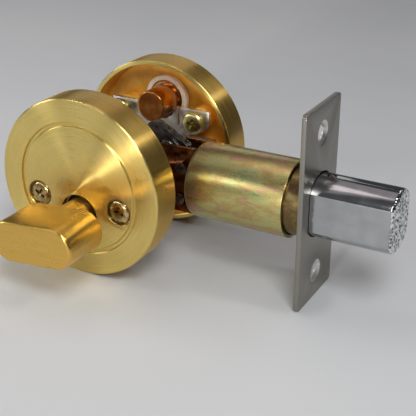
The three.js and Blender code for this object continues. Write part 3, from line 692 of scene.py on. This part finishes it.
def thread(centre, low, high):
    """A bar of thread along +Y between two places."""
    clear()
    bpy.ops.mesh.primitive_plane_add(size=MM, location=(0, 0, 0))
    strip = bpy.context.object
    turns = math.floor((high - low) / PITCH) - 1

    def zigzag():
        bpy.ops.mesh.select_mode(type="VERT")
        bpy.ops.mesh.select_all(action="SELECT")
        bpy.ops.mesh.merge(type="CENTER")
        bpy.ops.transform.translate(value=(ROOT * MM, 0, 0))
        bpy.ops.mesh.extrude_vertices_move(TRANSFORM_OT_translate={
            "value": ((CREST - ROOT) * MM, 0.4 * PITCH * MM, 0)})
        bpy.ops.mesh.extrude_vertices_move(TRANSFORM_OT_translate={"value": (0, 0.2 * PITCH * MM, 0)})
        bpy.ops.mesh.extrude_vertices_move(TRANSFORM_OT_translate={
            "value": ((ROOT - CREST) * MM, 0.4 * PITCH * MM, 0)})

    edit(strip, zigzag)
    wind = strip.modifiers.new("wind", "SCREW")
    wind.axis, wind.steps, wind.render_steps = "Y", 24, 24
    wind.screw_offset, wind.iterations = PITCH * MM, turns
    wind.use_merge_vertices, wind.merge_threshold = True, 0.003 * MM
    bpy.ops.object.modifier_apply(modifier=wind.name)

    def close():
        bpy.ops.mesh.select_all(action="SELECT")
        bpy.ops.mesh.remove_doubles(threshold=0.003 * MM)
        bpy.ops.mesh.fill_holes(sides=0)
        bpy.ops.mesh.select_all(action="SELECT")
        bpy.ops.mesh.normals_make_consistent(inside=False)

    edit(strip, close)
    strip.location = centre + ALONG_Y * low * MM
    return named("thread")


def cross_tip(centre, reach, half_width, depth, turned_by):
    """The driver's tip: two tapered wings that point along +Y from the centre. One starts 0.1 mm
    higher than the other, so that their tops are not in one plane."""
    wings = []
    for quarter, above in ((0, 0.6), (math.pi / 2, 0.7)):
        clear()
        bpy.ops.mesh.primitive_cube_add(size=1, location=(0, (depth - above) / 2 * MM, 0), scale=(
            2 * reach * MM, (depth + above) * MM, 2 * half_width * MM))
        wing = named("tool")

        def taper():
            bpy.ops.mesh.select_mode(type="FACE")
            bpy.ops.mesh.select_all(action="DESELECT")
            mesh = bmesh.from_edit_mesh(wing.data)
            for one in mesh.faces:
                one.select_set(one.normal.y > 0.9)
            bmesh.update_edit_mesh(wing.data)
            bpy.ops.transform.resize(value=(0.42, 1, 0.6))

        edit(wing, taper)
        wing.rotation_euler = (0, quarter + turned_by, 0)
        wing.location = centre
        only(wing)
        wings.append(named("tool"))
    return combine(wings[0], [wings[1]], "UNION")


def machine_screw(node, head_deep, turned_by, material, slot):
    low, high = measured(node)
    centre = at((low.x + high.x) / 2, 0, (low.z + high.z) / 2)
    top, end = low.y, high.y
    # A long screw is threaded at its end only.
    thread_top = max(top + head_deep, end - THREADED_END)
    plain = SHANK if thread_top > top + head_deep else CORE
    screw = turned(f"{node}_threaded", ALONG_Y, centre, [
        (0, top), (HEAD * 0.42, top + 0.05), (HEAD * 0.72, top + 0.26), (HEAD * 0.9, top + 0.62),
        (HEAD, top + 1.15), (HEAD, top + head_deep, 0.2), (plain, top + head_deep), (plain, thread_top),
        (CORE, thread_top + 0.3), (CORE, end - 0.9), (CORE - 0.6, end), (0, end)], 72)
    combine(screw, [thread(centre, thread_top - 0.35, end - 0.6)], "UNION")
    recess = centre + ALONG_Y * (top + 0.05) * MM
    combine(screw, [cross_tip(recess, WING_REACH, WING_HALF, RECESS_DEEP, turned_by)])
    paint(screw, material)
    fit(screw, slot, node)


mount_head = measured("inside_plate")[0].y - GAP - measured("mounting_screw_left")[0].y
PLATE_HEAD = 2.3
for node, head_deep, turned_by, material, slot in (
        ("mounting_screw_left", mount_head, 0.55, aged_nickel_finish, "aged_nickel"),
        ("mounting_screw_right", mount_head, 0.2, aged_nickel_finish, "aged_nickel"),
        ("plate_screw_left", PLATE_HEAD, 0.9, yellow_zinc_small, "yellow_zinc"),
        ("plate_screw_right", PLATE_HEAD, 0.35, yellow_zinc_small, "yellow_zinc")):
    machine_screw(node, head_deep, turned_by, material, slot)

# %% [markdown]
# ## Post, ring and plate in the outside rose
# A bright turned post stands in a white nylon ring on the cup's floor, and a punched zinc plate is
# screwed over it. The post and the ring are lathe work. The plate's outline is already right in the
# CAD, so a copy of it gets the small rounded edge that a punch leaves.

# %% Finishes: red brass, nylon, and the plated, darkened and browned steels
def post_brass():
    """Bright red brass: fine rings from the tool catch the light over a warm, patchy stain."""
    material, tree, shader, place = finish("turned_red_brass", Metallic=1.0, Roughness=0.2)
    across = round_axis(tree, place, middle("locating_post"))[2]
    # The tool leaves a fine groove each turn, 0.3 mm apart here and 0.1 mm in life.
    turns = add(tree, "Math", {0: across, 1: 1 / (0.3 * MM)}, operation="MULTIPLY").outputs["Value"]
    groove = add(tree, "TexNoise", {"W": turns, "Scale": 1.0, "Detail": 3.0}, noise_dimensions="1D")
    stain = add(tree, "TexNoise", {"Vector": place, "Scale": 1 / (3 * MM), "Detail": 4.0})
    tone = add(tree, "ValToRGB", {"Fac": stain.outputs["Fac"]}, stops=[(0.3, "B4763E"), (0.7, "DCA05E")])
    bump = add(tree, "Bump", {"Height": groove.outputs["Fac"], "Strength": 0.2, "Distance": 0.02 * MM})
    feed(shader, {"Base Color": tone.outputs["Color"], "Normal": bump.outputs["Normal"]})
    return material


def white_nylon():
    """Creamy and a little cloudy. Light goes some way into it, which softens its shadows."""
    material, tree, shader, place = finish("natural_nylon", Roughness=0.42, Subsurface_Weight=0.25,
                                           Subsurface_Scale=0.0015)
    cloudy = add(tree, "TexNoise", {"Vector": place, "Scale": 1 / (2.5 * MM), "Detail": 3.0})
    tone = add(tree, "ValToRGB", {"Fac": cloudy.outputs["Fac"]}, stops=[(0.3, "F2DFCA"), (0.7, "FBEFE0")])
    bump = add(tree, "Bump", {"Height": cloudy.outputs["Fac"], "Strength": 0.2, "Distance": 0.05 * MM})
    feed(shader, {"Base Color": tone.outputs["Color"], "Normal": bump.outputs["Normal"]})
    return material


def sheet_metal(name, dark, light, patch_mm, gloss_low, gloss_high):
    """Plated or darkened steel: patches of tone, the same patches in the gloss, and a fine tooth."""
    material, tree, shader, place = finish(name, Metallic=1.0)
    patch = add(tree, "TexNoise", {"Vector": place, "Scale": 1 / (patch_mm * MM), "Detail": 4.0})
    tone = add(tree, "ValToRGB", {"Fac": patch.outputs["Fac"]}, stops=[(0.32, dark), (0.68, light)])
    tooth = add(tree, "TexNoise", {"Vector": place, "Scale": 5 / (patch_mm * MM), "Detail": 3.0})
    mixed = add(tree, "Math", {0: patch.outputs["Fac"], 1: tooth.outputs["Fac"]}, operation="ADD")
    gloss = add(tree, "MapRange", {"Value": mixed.outputs["Value"], "From Min": 0.7, "From Max": 1.3,
                                   "To Min": gloss_low, "To Max": gloss_high})
    bump = add(tree, "Bump", {"Height": tooth.outputs["Fac"], "Strength": 0.25, "Distance": 0.03 * MM})
    feed(shader, {"Base Color": tone.outputs["Color"], "Roughness": gloss.outputs["Result"],
                  "Normal": bump.outputs["Normal"]})
    return material


turned_red_brass = post_brass()
natural_nylon = white_nylon()
# The neck's bush and washer share the plates' recipe, so their dark sheen is a metal's, not a plastic's.
black_nylon = sheet_metal("black_nylon", "16120F", "241D18", 1.5, 0.35, 0.5)
bright_zinc = sheet_metal("bright_zinc_plate", "D2D2CC", "FAFAF7", 3.0, 0.30, 0.50)
plain_steel = sheet_metal("bright_drawn_steel", "8A8A88", "B2B2B0", 1.5, 0.20, 0.38)
gunmetal = sheet_metal("phosphated_steel", "524D50", "85807F", 1.8, 0.24, 0.42)
bronzed_steel = sheet_metal("bronzed_steel", "4E2C17", "8A5430", 2.2, 0.24, 0.42)
# A paler bronze for the housing plates' punched edges: a painted highlight along each edge.
bronze_painted_edge_highlight = sheet_metal("bronzed_steel_painted_highlight", "8E5E3C", "C09068", 1.0, 0.18, 0.34)
# The rivets get a darker steel than their plain steel, partly as painted shade.
darkened_rivet_steel = sheet_metal("darkened_rivet_steel", "4A4038", "75695C", 1.2, 0.22, 0.40)

# %% Post and ring
post_low, post_high = measured("locating_post")
ring_low, ring_high = measured("nylon_ring")
POST, FLANGE = 5.35, (post_high.x - post_low.x) / 2
RING_OUT, RING_IN = (ring_high.x - ring_low.x) / 2, FLANGE + GAP
post_axis = at(0, 0, (post_low.z + post_high.z) / 2)
flange_top = ring_low.y + GAP
post = turned("locating_post_turned", ALONG_Y, post_axis, [
    (0, post_low.y + 0.12), (0.5, post_low.y + 0.06), (POST - 0.7, post_low.y), (POST, post_low.y, 0.35),
    (POST, flange_top), (FLANGE, flange_top, 0.15), (FLANGE, post_high.y), (0, post_high.y)])
paint(post, turned_red_brass)
fit(post, "polished_brass", "locating_post")

ring = turned("nylon_ring_moulded", ALONG_Y, post_axis, [
    (RING_IN, ring_low.y, 0.25), (RING_OUT, ring_low.y, 0.45), (RING_OUT, ring_high.y),
    (RING_IN, ring_high.y), (RING_IN, ring_low.y)])
paint(ring, natural_nylon)
fit(ring, "nylon", "nylon_ring")

# %% A copy of a CAD part with real edges
def refined(node, material, slot, edge, corner=0.0):
    """Copies a CAD mesh, merges its loose triangles into whole faces and breaks its edges."""
    piece = bpy.data.objects.new(f"{node}_finished", frame["nodes"][node].data.copy())
    bpy.context.scene.collection.objects.link(piece)
    piece.data.materials.clear()

    def whole_faces():
        bpy.ops.mesh.select_all(action="SELECT")
        bpy.ops.mesh.remove_doubles(threshold=0.002 * MM)
        bpy.ops.mesh.dissolve_limited(angle_limit=math.radians(1.0))
        if corner:
            def upright(corners):
                here, there = corners
                return abs(here.x - there.x) < 0.01 and abs(here.z - there.z) < 0.01
            pick(piece, "EDGE", upright)
            bpy.ops.mesh.bevel(offset=corner * MM, segments=4, affect="EDGES", clamp_overlap=True)

    edit(piece, whole_faces)
    soften(piece, edge)
    paint(piece, material)
    fit(piece, slot, node)
    return piece


refined("outside_plate", bright_zinc, "zinc_plate", 0.18)
refined("inside_plate", bright_zinc, "zinc_plate", 0.15)

# %% [markdown]
# ## Latch tube
# The sleeve is drawn steel tube, closed and rounded at the back, with yellow zinc on it; a thinner tube
# slides inside and shows behind the faceplate. The colours of the film run along the tube in streaks.

# %% Sleeve and inner tube
yellow_zinc_tube = yellow_zinc("yellow_zinc_tube", 3.6, 2.4,
                               ("8FA67C", "BCBC80", "C0B276", "B29E66", "CC9C8C", "A8BC86"))
tube_low, tube_high = measured("latch_sleeve")
SLEEVE = tube_high.z
INNER = measured("inner_tube")[1].z
bore = INNER + GAP
sleeve = turned("latch_sleeve_drawn", ALONG_X, at(), [
    (0, tube_low.x), (SLEEVE, tube_low.x, 1.6), (SLEEVE, tube_high.x, 0.15), (bore, tube_high.x, 0.15),
    (bore, tube_low.x + 1.0), (0, tube_low.x + 1.0)], 128)
plate_out = measured("housing_plate_far")[1].y
mouth = math.sqrt((bore - 0.35) ** 2 - plate_out ** 2) + 0.15
combine(sleeve, [bar(at(tube_low.x - 1, -plate_out - GAP, -mouth),
                     at(tube_low.x + 2, plate_out + GAP, mouth))])
paint(sleeve, yellow_zinc_tube)
fit(sleeve, "yellow_zinc", "latch_sleeve")

INNER_WALL = 0.65
yellow_zinc_inner = yellow_zinc("yellow_zinc_inner_tube", 4.0, 1.0,
                                ("6A6A48", "7E704C", "72603E", "665436", "8A6450", "727A50"))
inner_low, inner_high = measured("inner_tube")
inner = turned("inner_tube_drawn", ALONG_X, at(), [
    (INNER - INNER_WALL, inner_low.x), (INNER, inner_low.x, 0.15), (INNER, inner_high.x, 0.15),
    (INNER - INNER_WALL, inner_high.x), (INNER - INNER_WALL, inner_low.x)], 128)
paint(inner, yellow_zinc_inner)
fit(inner, "yellow_zinc", "inner_tube")

# %% [markdown]
# ## Faceplate and bolt
# The faceplate is satin nickel on steel, brushed up and down. The bolt is die-cast, chromed, flat on two
# sides so that it cannot turn, and its end keeps the rough skin of the casting. The end is made of
# rings of small faces, and a Displace modifier presses a cellular pattern into them.

# %% Satin nickel and chrome
def satin_nickel():
    """Grey and even, with fine upright grooves that spread the lamps sideways."""
    material, tree, shader, place = finish("satin_nickel_brushed", Metallic=1.0, Anisotropic=0.6)
    # Grooves 0.3 mm apart and 20 mm long, running up the plate; 0.1 mm apart in life.
    pulled = add(tree, "VectorMath", {0: place, 1: (1 / (0.3 * MM), 1 / (0.3 * MM), 50.0)},
                 operation="MULTIPLY")
    groove = add(tree, "TexNoise", {"Vector": pulled.outputs["Vector"], "Scale": 1.0, "Detail": 4.0})
    tone = add(tree, "Mix", {"Factor": groove.outputs["Fac"], 6: srgb("8B887F"), 7: srgb("9F9C94")},
               data_type="RGBA")
    soft = add(tree, "TexNoise", {"Vector": place, "Scale": 1 / (9 * MM), "Detail": 2.0})
    worn = add(tree, "Math", {0: groove.outputs["Fac"], 1: soft.outputs["Fac"]}, operation="ADD")
    gloss = add(tree, "MapRange", {"Value": worn.outputs["Value"], "From Min": 0.6, "From Max": 1.4,
                                   "To Min": 0.28, "To Max": 0.40})
    bump = add(tree, "Bump", {"Height": groove.outputs["Fac"], "Strength": 0.12, "Distance": 0.02 * MM})
    tangent = add(tree, "VectorTransform", {"Vector": (0.2, 1.0, 0.0)}, vector_type="VECTOR",
                  convert_from="OBJECT", convert_to="WORLD")
    feed(shader, {"Base Color": tone.outputs[2], "Roughness": gloss.outputs["Result"],
                  "Normal": bump.outputs["Normal"], "Tangent": tangent.outputs["Vector"]})
    return material


def chrome(name, gloss_low, gloss_high, grain_mm, bump_strength, tones, pits_mm=0.0):
    """Bright chromium: blue-white and nearly a mirror, with a trace of the casting under it."""
    material, tree, shader, place = finish(name, Metallic=1.0)
    skin = add(tree, "TexNoise", {"Vector": place, "Scale": 1 / (grain_mm * MM), "Detail": 4.0})
    shade = skin.outputs["Fac"]
    if pits_mm:
        # Pits are painted dark and ridges near white: dirt and wear, and also painted shade and glints.
        shade = add(tree, "TexVoronoi", {"Vector": place, "Scale": 1 / (pits_mm * MM)}).outputs["Distance"]
    tone = add(tree, "ValToRGB", {"Fac": shade}, stops=tones)
    gloss = add(tree, "MapRange", {"Value": skin.outputs["Fac"], "From Min": 0.3, "From Max": 0.7,
                                   "To Min": gloss_low, "To Max": gloss_high})
    bump = add(tree, "Bump", {"Height": skin.outputs["Fac"], "Strength": bump_strength,
                              "Distance": 0.03 * MM})
    feed(shader, {"Base Color": tone.outputs["Color"], "Roughness": gloss.outputs["Result"],
                  "Normal": bump.outputs["Normal"]})
    return material


satin_nickel_brushed = satin_nickel()
bright_chrome = chrome("bright_chrome", 0.12, 0.17, 5.0, 0.04, [(0.3, "A2A4A6"), (0.7, "B0B2B4")])
# The cast end's dark pits and near-white ridges are partly painted shade and glints.
cast_chrome = chrome("chrome_over_casting", 0.08, 0.20, 0.5, 0.5,
                     [(0.15, "3C4241"), (0.45, "A9AFAD"), (0.62, "F6F8F7")], pits_mm=1.0)

# %% The bolt's section
bolt_low, bolt_high = measured("bolt")
BOLT, HALF = bolt_high.z, bolt_high.y


def section(name, grow, low, high, sides=160):
    """A round bar whose two sides are pressed flat."""
    clear()
    bpy.ops.mesh.primitive_cylinder_add(vertices=sides, radius=(BOLT + grow) * MM, depth=(high - low) * MM,
                                        location=at((low + high) / 2), rotation=(0, math.pi / 2, 0))
    piece = named(name)
    half = HALF + grow

    def press():
        for side in (-1, 1):
            pick(piece, "VERT", lambda corners: corners[0].y * side > half - 0.02)
            bpy.ops.transform.resize(value=(1, 0, 1), center_override=at(0, side * half))

    edit(piece, press)
    return piece


# %% Faceplate
plate_low, plate_high = measured("faceplate")
clear()
bpy.ops.mesh.primitive_cube_add(size=1, location=(at(*plate_low) + at(*plate_high)) / 2,
                                scale=at(*plate_high) - at(*plate_low))
faceplate = named("faceplate_brushed")


def along_x(corners):
    return abs(corners[0].x - corners[1].x) > 1


def outline(x):
    return lambda corners: all(abs(c.x - x) < 0.01 for c in corners)


def round_corners():
    """Rounds the four corners, then the edge all round the front, then the one round the back."""
    for test, width, segments in ((along_x, 1.4, 6), (outline(plate_high.x), 0.3, 3),
                                  (outline(plate_low.x), 0.12, 2)):
        pick(faceplate, "EDGE", test)
        bpy.ops.mesh.bevel(offset=width * MM, segments=segments, affect="EDGES")


edit(faceplate, round_corners)
HOLE, SINK, HOLE_Z = 2.6, 4.1, 23.1
sinks = [turned("sink", ALONG_X, at(0, 0, side * HOLE_Z), [
    (0, plate_low.x - 1), (HOLE, plate_low.x - 1), (HOLE, plate_high.x - 1.05),
    (SINK - 0.35, plate_high.x - 0.12), (SINK, plate_high.x), (SINK + 0.1, plate_high.x + 0.6),
    (0, plate_high.x + 0.6)], 64) for side in (-1, 1)]
BOLT_GAP = 0.4
combine(faceplate, [section("tool", BOLT_GAP, plate_low.x - 1, plate_high.x + 1), *sinks])


def in_sink(corners):
    return all(math.hypot(c.y, abs(c.z) - HOLE_Z) < SINK - 0.02 for c in corners)


paint(faceplate, satin_nickel_brushed)
paint(faceplate, bright_zinc, in_sink)
fit(faceplate, "satin_nickel", "faceplate", angle=25)

# %% Bolt with its cast end
END_EDGE, RINGS, SKIN = 1.2, 24, 0.5
bolt = section("bolt_cast", 0, bolt_low.x, bolt_high.x)


def cast_end():
    pick(bolt, "EDGE", outline(bolt_high.x))
    bpy.ops.mesh.bevel(offset=END_EDGE * MM, segments=5, affect="EDGES")
    pick(bolt, "FACE", outline(bolt_high.x))
    for ring_number in range(RINGS, 1, -1):
        bpy.ops.mesh.extrude_region()
        shrink = (ring_number - 1) / ring_number
        bpy.ops.transform.resize(value=(1, shrink, shrink), center_override=at(bolt_high.x))
    bpy.ops.mesh.poke()


edit(bolt, cast_end)
grainy = bolt.vertex_groups.new(name="casting_skin")
for vertex in bolt.data.vertices:
    depth = bolt_high.x - (vertex.co - lock).x / MM
    if depth < END_EDGE * 0.8:
        grainy.add([vertex.index], 1 - 0.5 * depth / END_EDGE, "REPLACE")
cells = bpy.data.textures.new("casting_cells", "VORONOI")
cells.noise_scale, cells.noise_intensity = 1.1 * MM, 1.0
press_in = bolt.modifiers.new("casting", "DISPLACE")
press_in.texture, press_in.texture_coords, press_in.direction = cells, "LOCAL", "X"
press_in.strength, press_in.mid_level, press_in.vertex_group = -SKIN * MM, 0.0, grainy.name
only(bolt)
bpy.ops.object.modifier_apply(modifier=press_in.name)
skin = [(v.co - lock).x / MM for v in bolt.data.vertices if (v.co - lock).x / MM > bolt_high.x - 0.45]
print("casting pressed in by up to", round(max(skin) - min(skin), 2), "mm at", len(skin), "corners")

tail_low, tail_high = measured("bolt_tail")
saw_low, saw_high = measured("anti_saw_pin")
cross_low, cross_high = measured("bolt_cross_pin")
TOP_WALL, DIMPLE = 0.9, 0.9
tail_space = bar(at(bolt_low.x - 1, tail_low.y - GAP, tail_low.z - GAP),
                 at(tail_high.x + GAP, tail_high.y + GAP, BOLT - TOP_WALL))
saw_bore = rod(ALONG_X, at(0, 0, (saw_low.z + saw_high.z) / 2), (saw_high.y - saw_low.y) / 2 + GAP,
               bolt_low.x - 1, saw_high.x + GAP, 32)
cross_axis = at((cross_low.x + cross_high.x) / 2)
cross_radius = (cross_high.y - cross_low.y) / 2
cross_bore = rod(ALONG_Z, cross_axis, cross_radius + GAP, cross_low.z - 0.15, BOLT + 1, 32)
dimple = rod(ALONG_Z, cross_axis, cross_radius, -BOLT - 1, -BOLT + DIMPLE, 32)
combine(bolt, [tail_space, saw_bore, cross_bore, dimple])
paint(bolt, bright_chrome)
paint(bolt, cast_chrome, lambda corners: all(c.x > bolt_high.x - END_EDGE * 0.85 for c in corners))
fit(bolt, "chrome", "bolt", angle=28)

# %% [markdown]
# ## Inside the latch
# Punched plates, pins and rivets. The plates keep their CAD outline and get a broken edge; the crank's
# three plates are made from hulls of round ends, so that their outline is smooth. Pins and washers
# are turned again, since the CAD's few sides would show as corners.

# %% Crank plates
crank_pin_low, crank_pin_high = measured("crank_pin")
PIN_X, PIN_Z = (crank_pin_low.x + crank_pin_high.x) / 2, (crank_pin_low.z + crank_pin_high.z) / 2
HUB_HOLE, PIN_HOLE = 4.2, 2.1
LOBE, ELBOW = (0, spindle_z, 4.6), (PIN_X, PIN_Z, 3.8)
CRANK_HEAD, CRANK_TIP = (PIN_X - 1.1, PIN_Z + 8.5, 3.4), (PIN_X + 9.3, PIN_Z + 4.4, 1.9)


def punched_edge(corners):
    """True where the face is not one of the plate's two flat sides."""
    return max(c.y for c in corners) - min(c.y for c in corners) > 0.02


for name in ("near", "middle", "far"):
    low, high = measured(f"crank_plate_{name}")
    crank = combine(arm(f"crank_plate_{name}_punched", (LOBE, ELBOW), low.y, high.y, 48),
                    [arm("tool", (ELBOW, CRANK_HEAD, CRANK_TIP), low.y, high.y, 44)], "UNION")
    combine(crank, [rod(ALONG_Y, at(0, 0, spindle_z), HUB_HOLE, low.y - 1, high.y + 1),
                    rod(ALONG_Y, at(PIN_X, 0, PIN_Z), PIN_HOLE, low.y - 1, high.y + 1)])
    soften(crank, 0.15, 40, 2)
    paint(crank, gunmetal)
    paint(crank, plain_steel, punched_edge)
    fit(crank, "gunmetal", f"crank_plate_{name}")

# %% Plates that keep their outline
for node, material, slot, edge, corner in (
        ("housing_plate_near", bronzed_steel, "bronzed_steel", 0.14, 0.7),
        ("housing_plate_far", bronzed_steel, "bronzed_steel", 0.14, 0.7),
        ("bolt_tail", plain_steel, "plain_steel", 0.12, 0.0),
        ("spindle_blade", plain_steel, "plain_steel", 0.15, 0.0),
        ("retaining_clip", plain_steel, "plain_steel", 0.08, 0.0)):
    piece = refined(node, material, slot, edge, corner)
    if node.startswith("housing"):
        # Their punched edges are painted paler as a highlight.
        paint(piece, bronze_painted_edge_highlight, punched_edge)


# %% Turned pins, washers, rivets, posts and the hub
def turned_pin(node, axis, material, edge, hole=0.0):
    """A pin, or a washer if it has a hole, made again from its CAD box."""
    low, high = measured(node)
    centre = lock + (low + high) / 2 * MM
    length = (high - low).dot(axis)
    across = sorted(high - low, key=lambda size: abs(size - length))[-1]
    radius, half = across / 2, length / 2
    if hole:
        profile = [(hole, -half, edge), (radius, -half, edge), (radius, half, edge), (hole, half, edge),
                   (hole, -half)]
    else:
        profile = [(0, -half), (radius, -half, edge), (radius, half, edge), (0, half)]
    piece = turned(f"{node}_turned", axis, centre, profile, 64)
    paint(piece, material)
    return piece


BEARING_GAP = 0.15
for node, axis, material, slot, edge, hole in (
        ("crank_pin", ALONG_Y, plain_steel, "plain_steel", 0.2, 0),
        ("blade_roll_pin", ALONG_X, plain_steel, "plain_steel", 0.2, 0),
        ("bolt_cross_pin", ALONG_Z, plain_steel, "plain_steel", 0.25, 0),
        ("anti_saw_pin", ALONG_X, gunmetal, "gunmetal", 0.3, 0),
        ("neck_bush", ALONG_Y, black_nylon, "nylon", 0.1, NECK + BEARING_GAP),
        ("thrust_washer", ALONG_Y, black_nylon, "nylon", 0.12, NECK + BEARING_GAP)):
    fit(turned_pin(node, axis, material, edge, hole), slot, node)

hub = turned_pin("crank_hub", ALONG_Y, gunmetal, 0.25)
hub_low, hub_high = measured("crank_hub")
combine(hub, [bar(at(blade_low.x - GAP, hub_low.y - 1, blade_low.z - GAP),
                  at(blade_high.x + GAP, hub_high.y + 1, blade_high.z + GAP))])
fit(hub, "gunmetal", "crank_hub")

RIVET, RIVET_HEAD, SPACER = 1.3, 2.0, 2.2
for node, waist, waist_half in (("guide_rivet", RIVET, 3.0), ("spacer_rivet", SPACER, 3.3)):
    low, high = measured(node)
    centre = lock + (low + high) / 2 * MM
    half = (high.y - low.y) / 2
    half_section = [(waist, waist_half), (RIVET, waist_half), (RIVET, half - 0.6),
                    (RIVET_HEAD, half - 0.6, 0.08), (RIVET_HEAD * 0.93, half - 0.3),
                    (RIVET_HEAD * 0.7, half - 0.07), (0, half)]
    if waist == RIVET:
        half_section = half_section[1:]
    mirrored = [(corner[0], -corner[1], *corner[2:]) for corner in reversed(half_section)]
    rivet = turned(f"{node}_closed", ALONG_Y, centre, mirrored + half_section, 48)
    # Darker than plain steel, partly as painted shade.
    paint(rivet, darkened_rivet_steel)
    fit(rivet, "plain_steel", node)

BORE_END, BORE, BARREL, SPIGOT = 16.5, 2.3, 3.6, 2.0
shoulder = measured("outside_plate")[0].y - GAP
for node in ("threaded_post_left", "threaded_post_right"):
    low, high = measured(node)
    centre = at((low.x + high.x) / 2, 0, (low.z + high.z) / 2)
    tapped_post = turned(f"{node}_turned", ALONG_Y, centre, [
        (0, BORE_END), (BORE, BORE_END), (BORE, low.y, 0.3), (BARREL, low.y, 0.35),
        (BARREL, shoulder, 0.2), (SPIGOT, shoulder), (SPIGOT, high.y, 0.3), (0, high.y)], 64)
    paint(tapped_post, plain_steel)
    fit(tapped_post, "plain_steel", node)
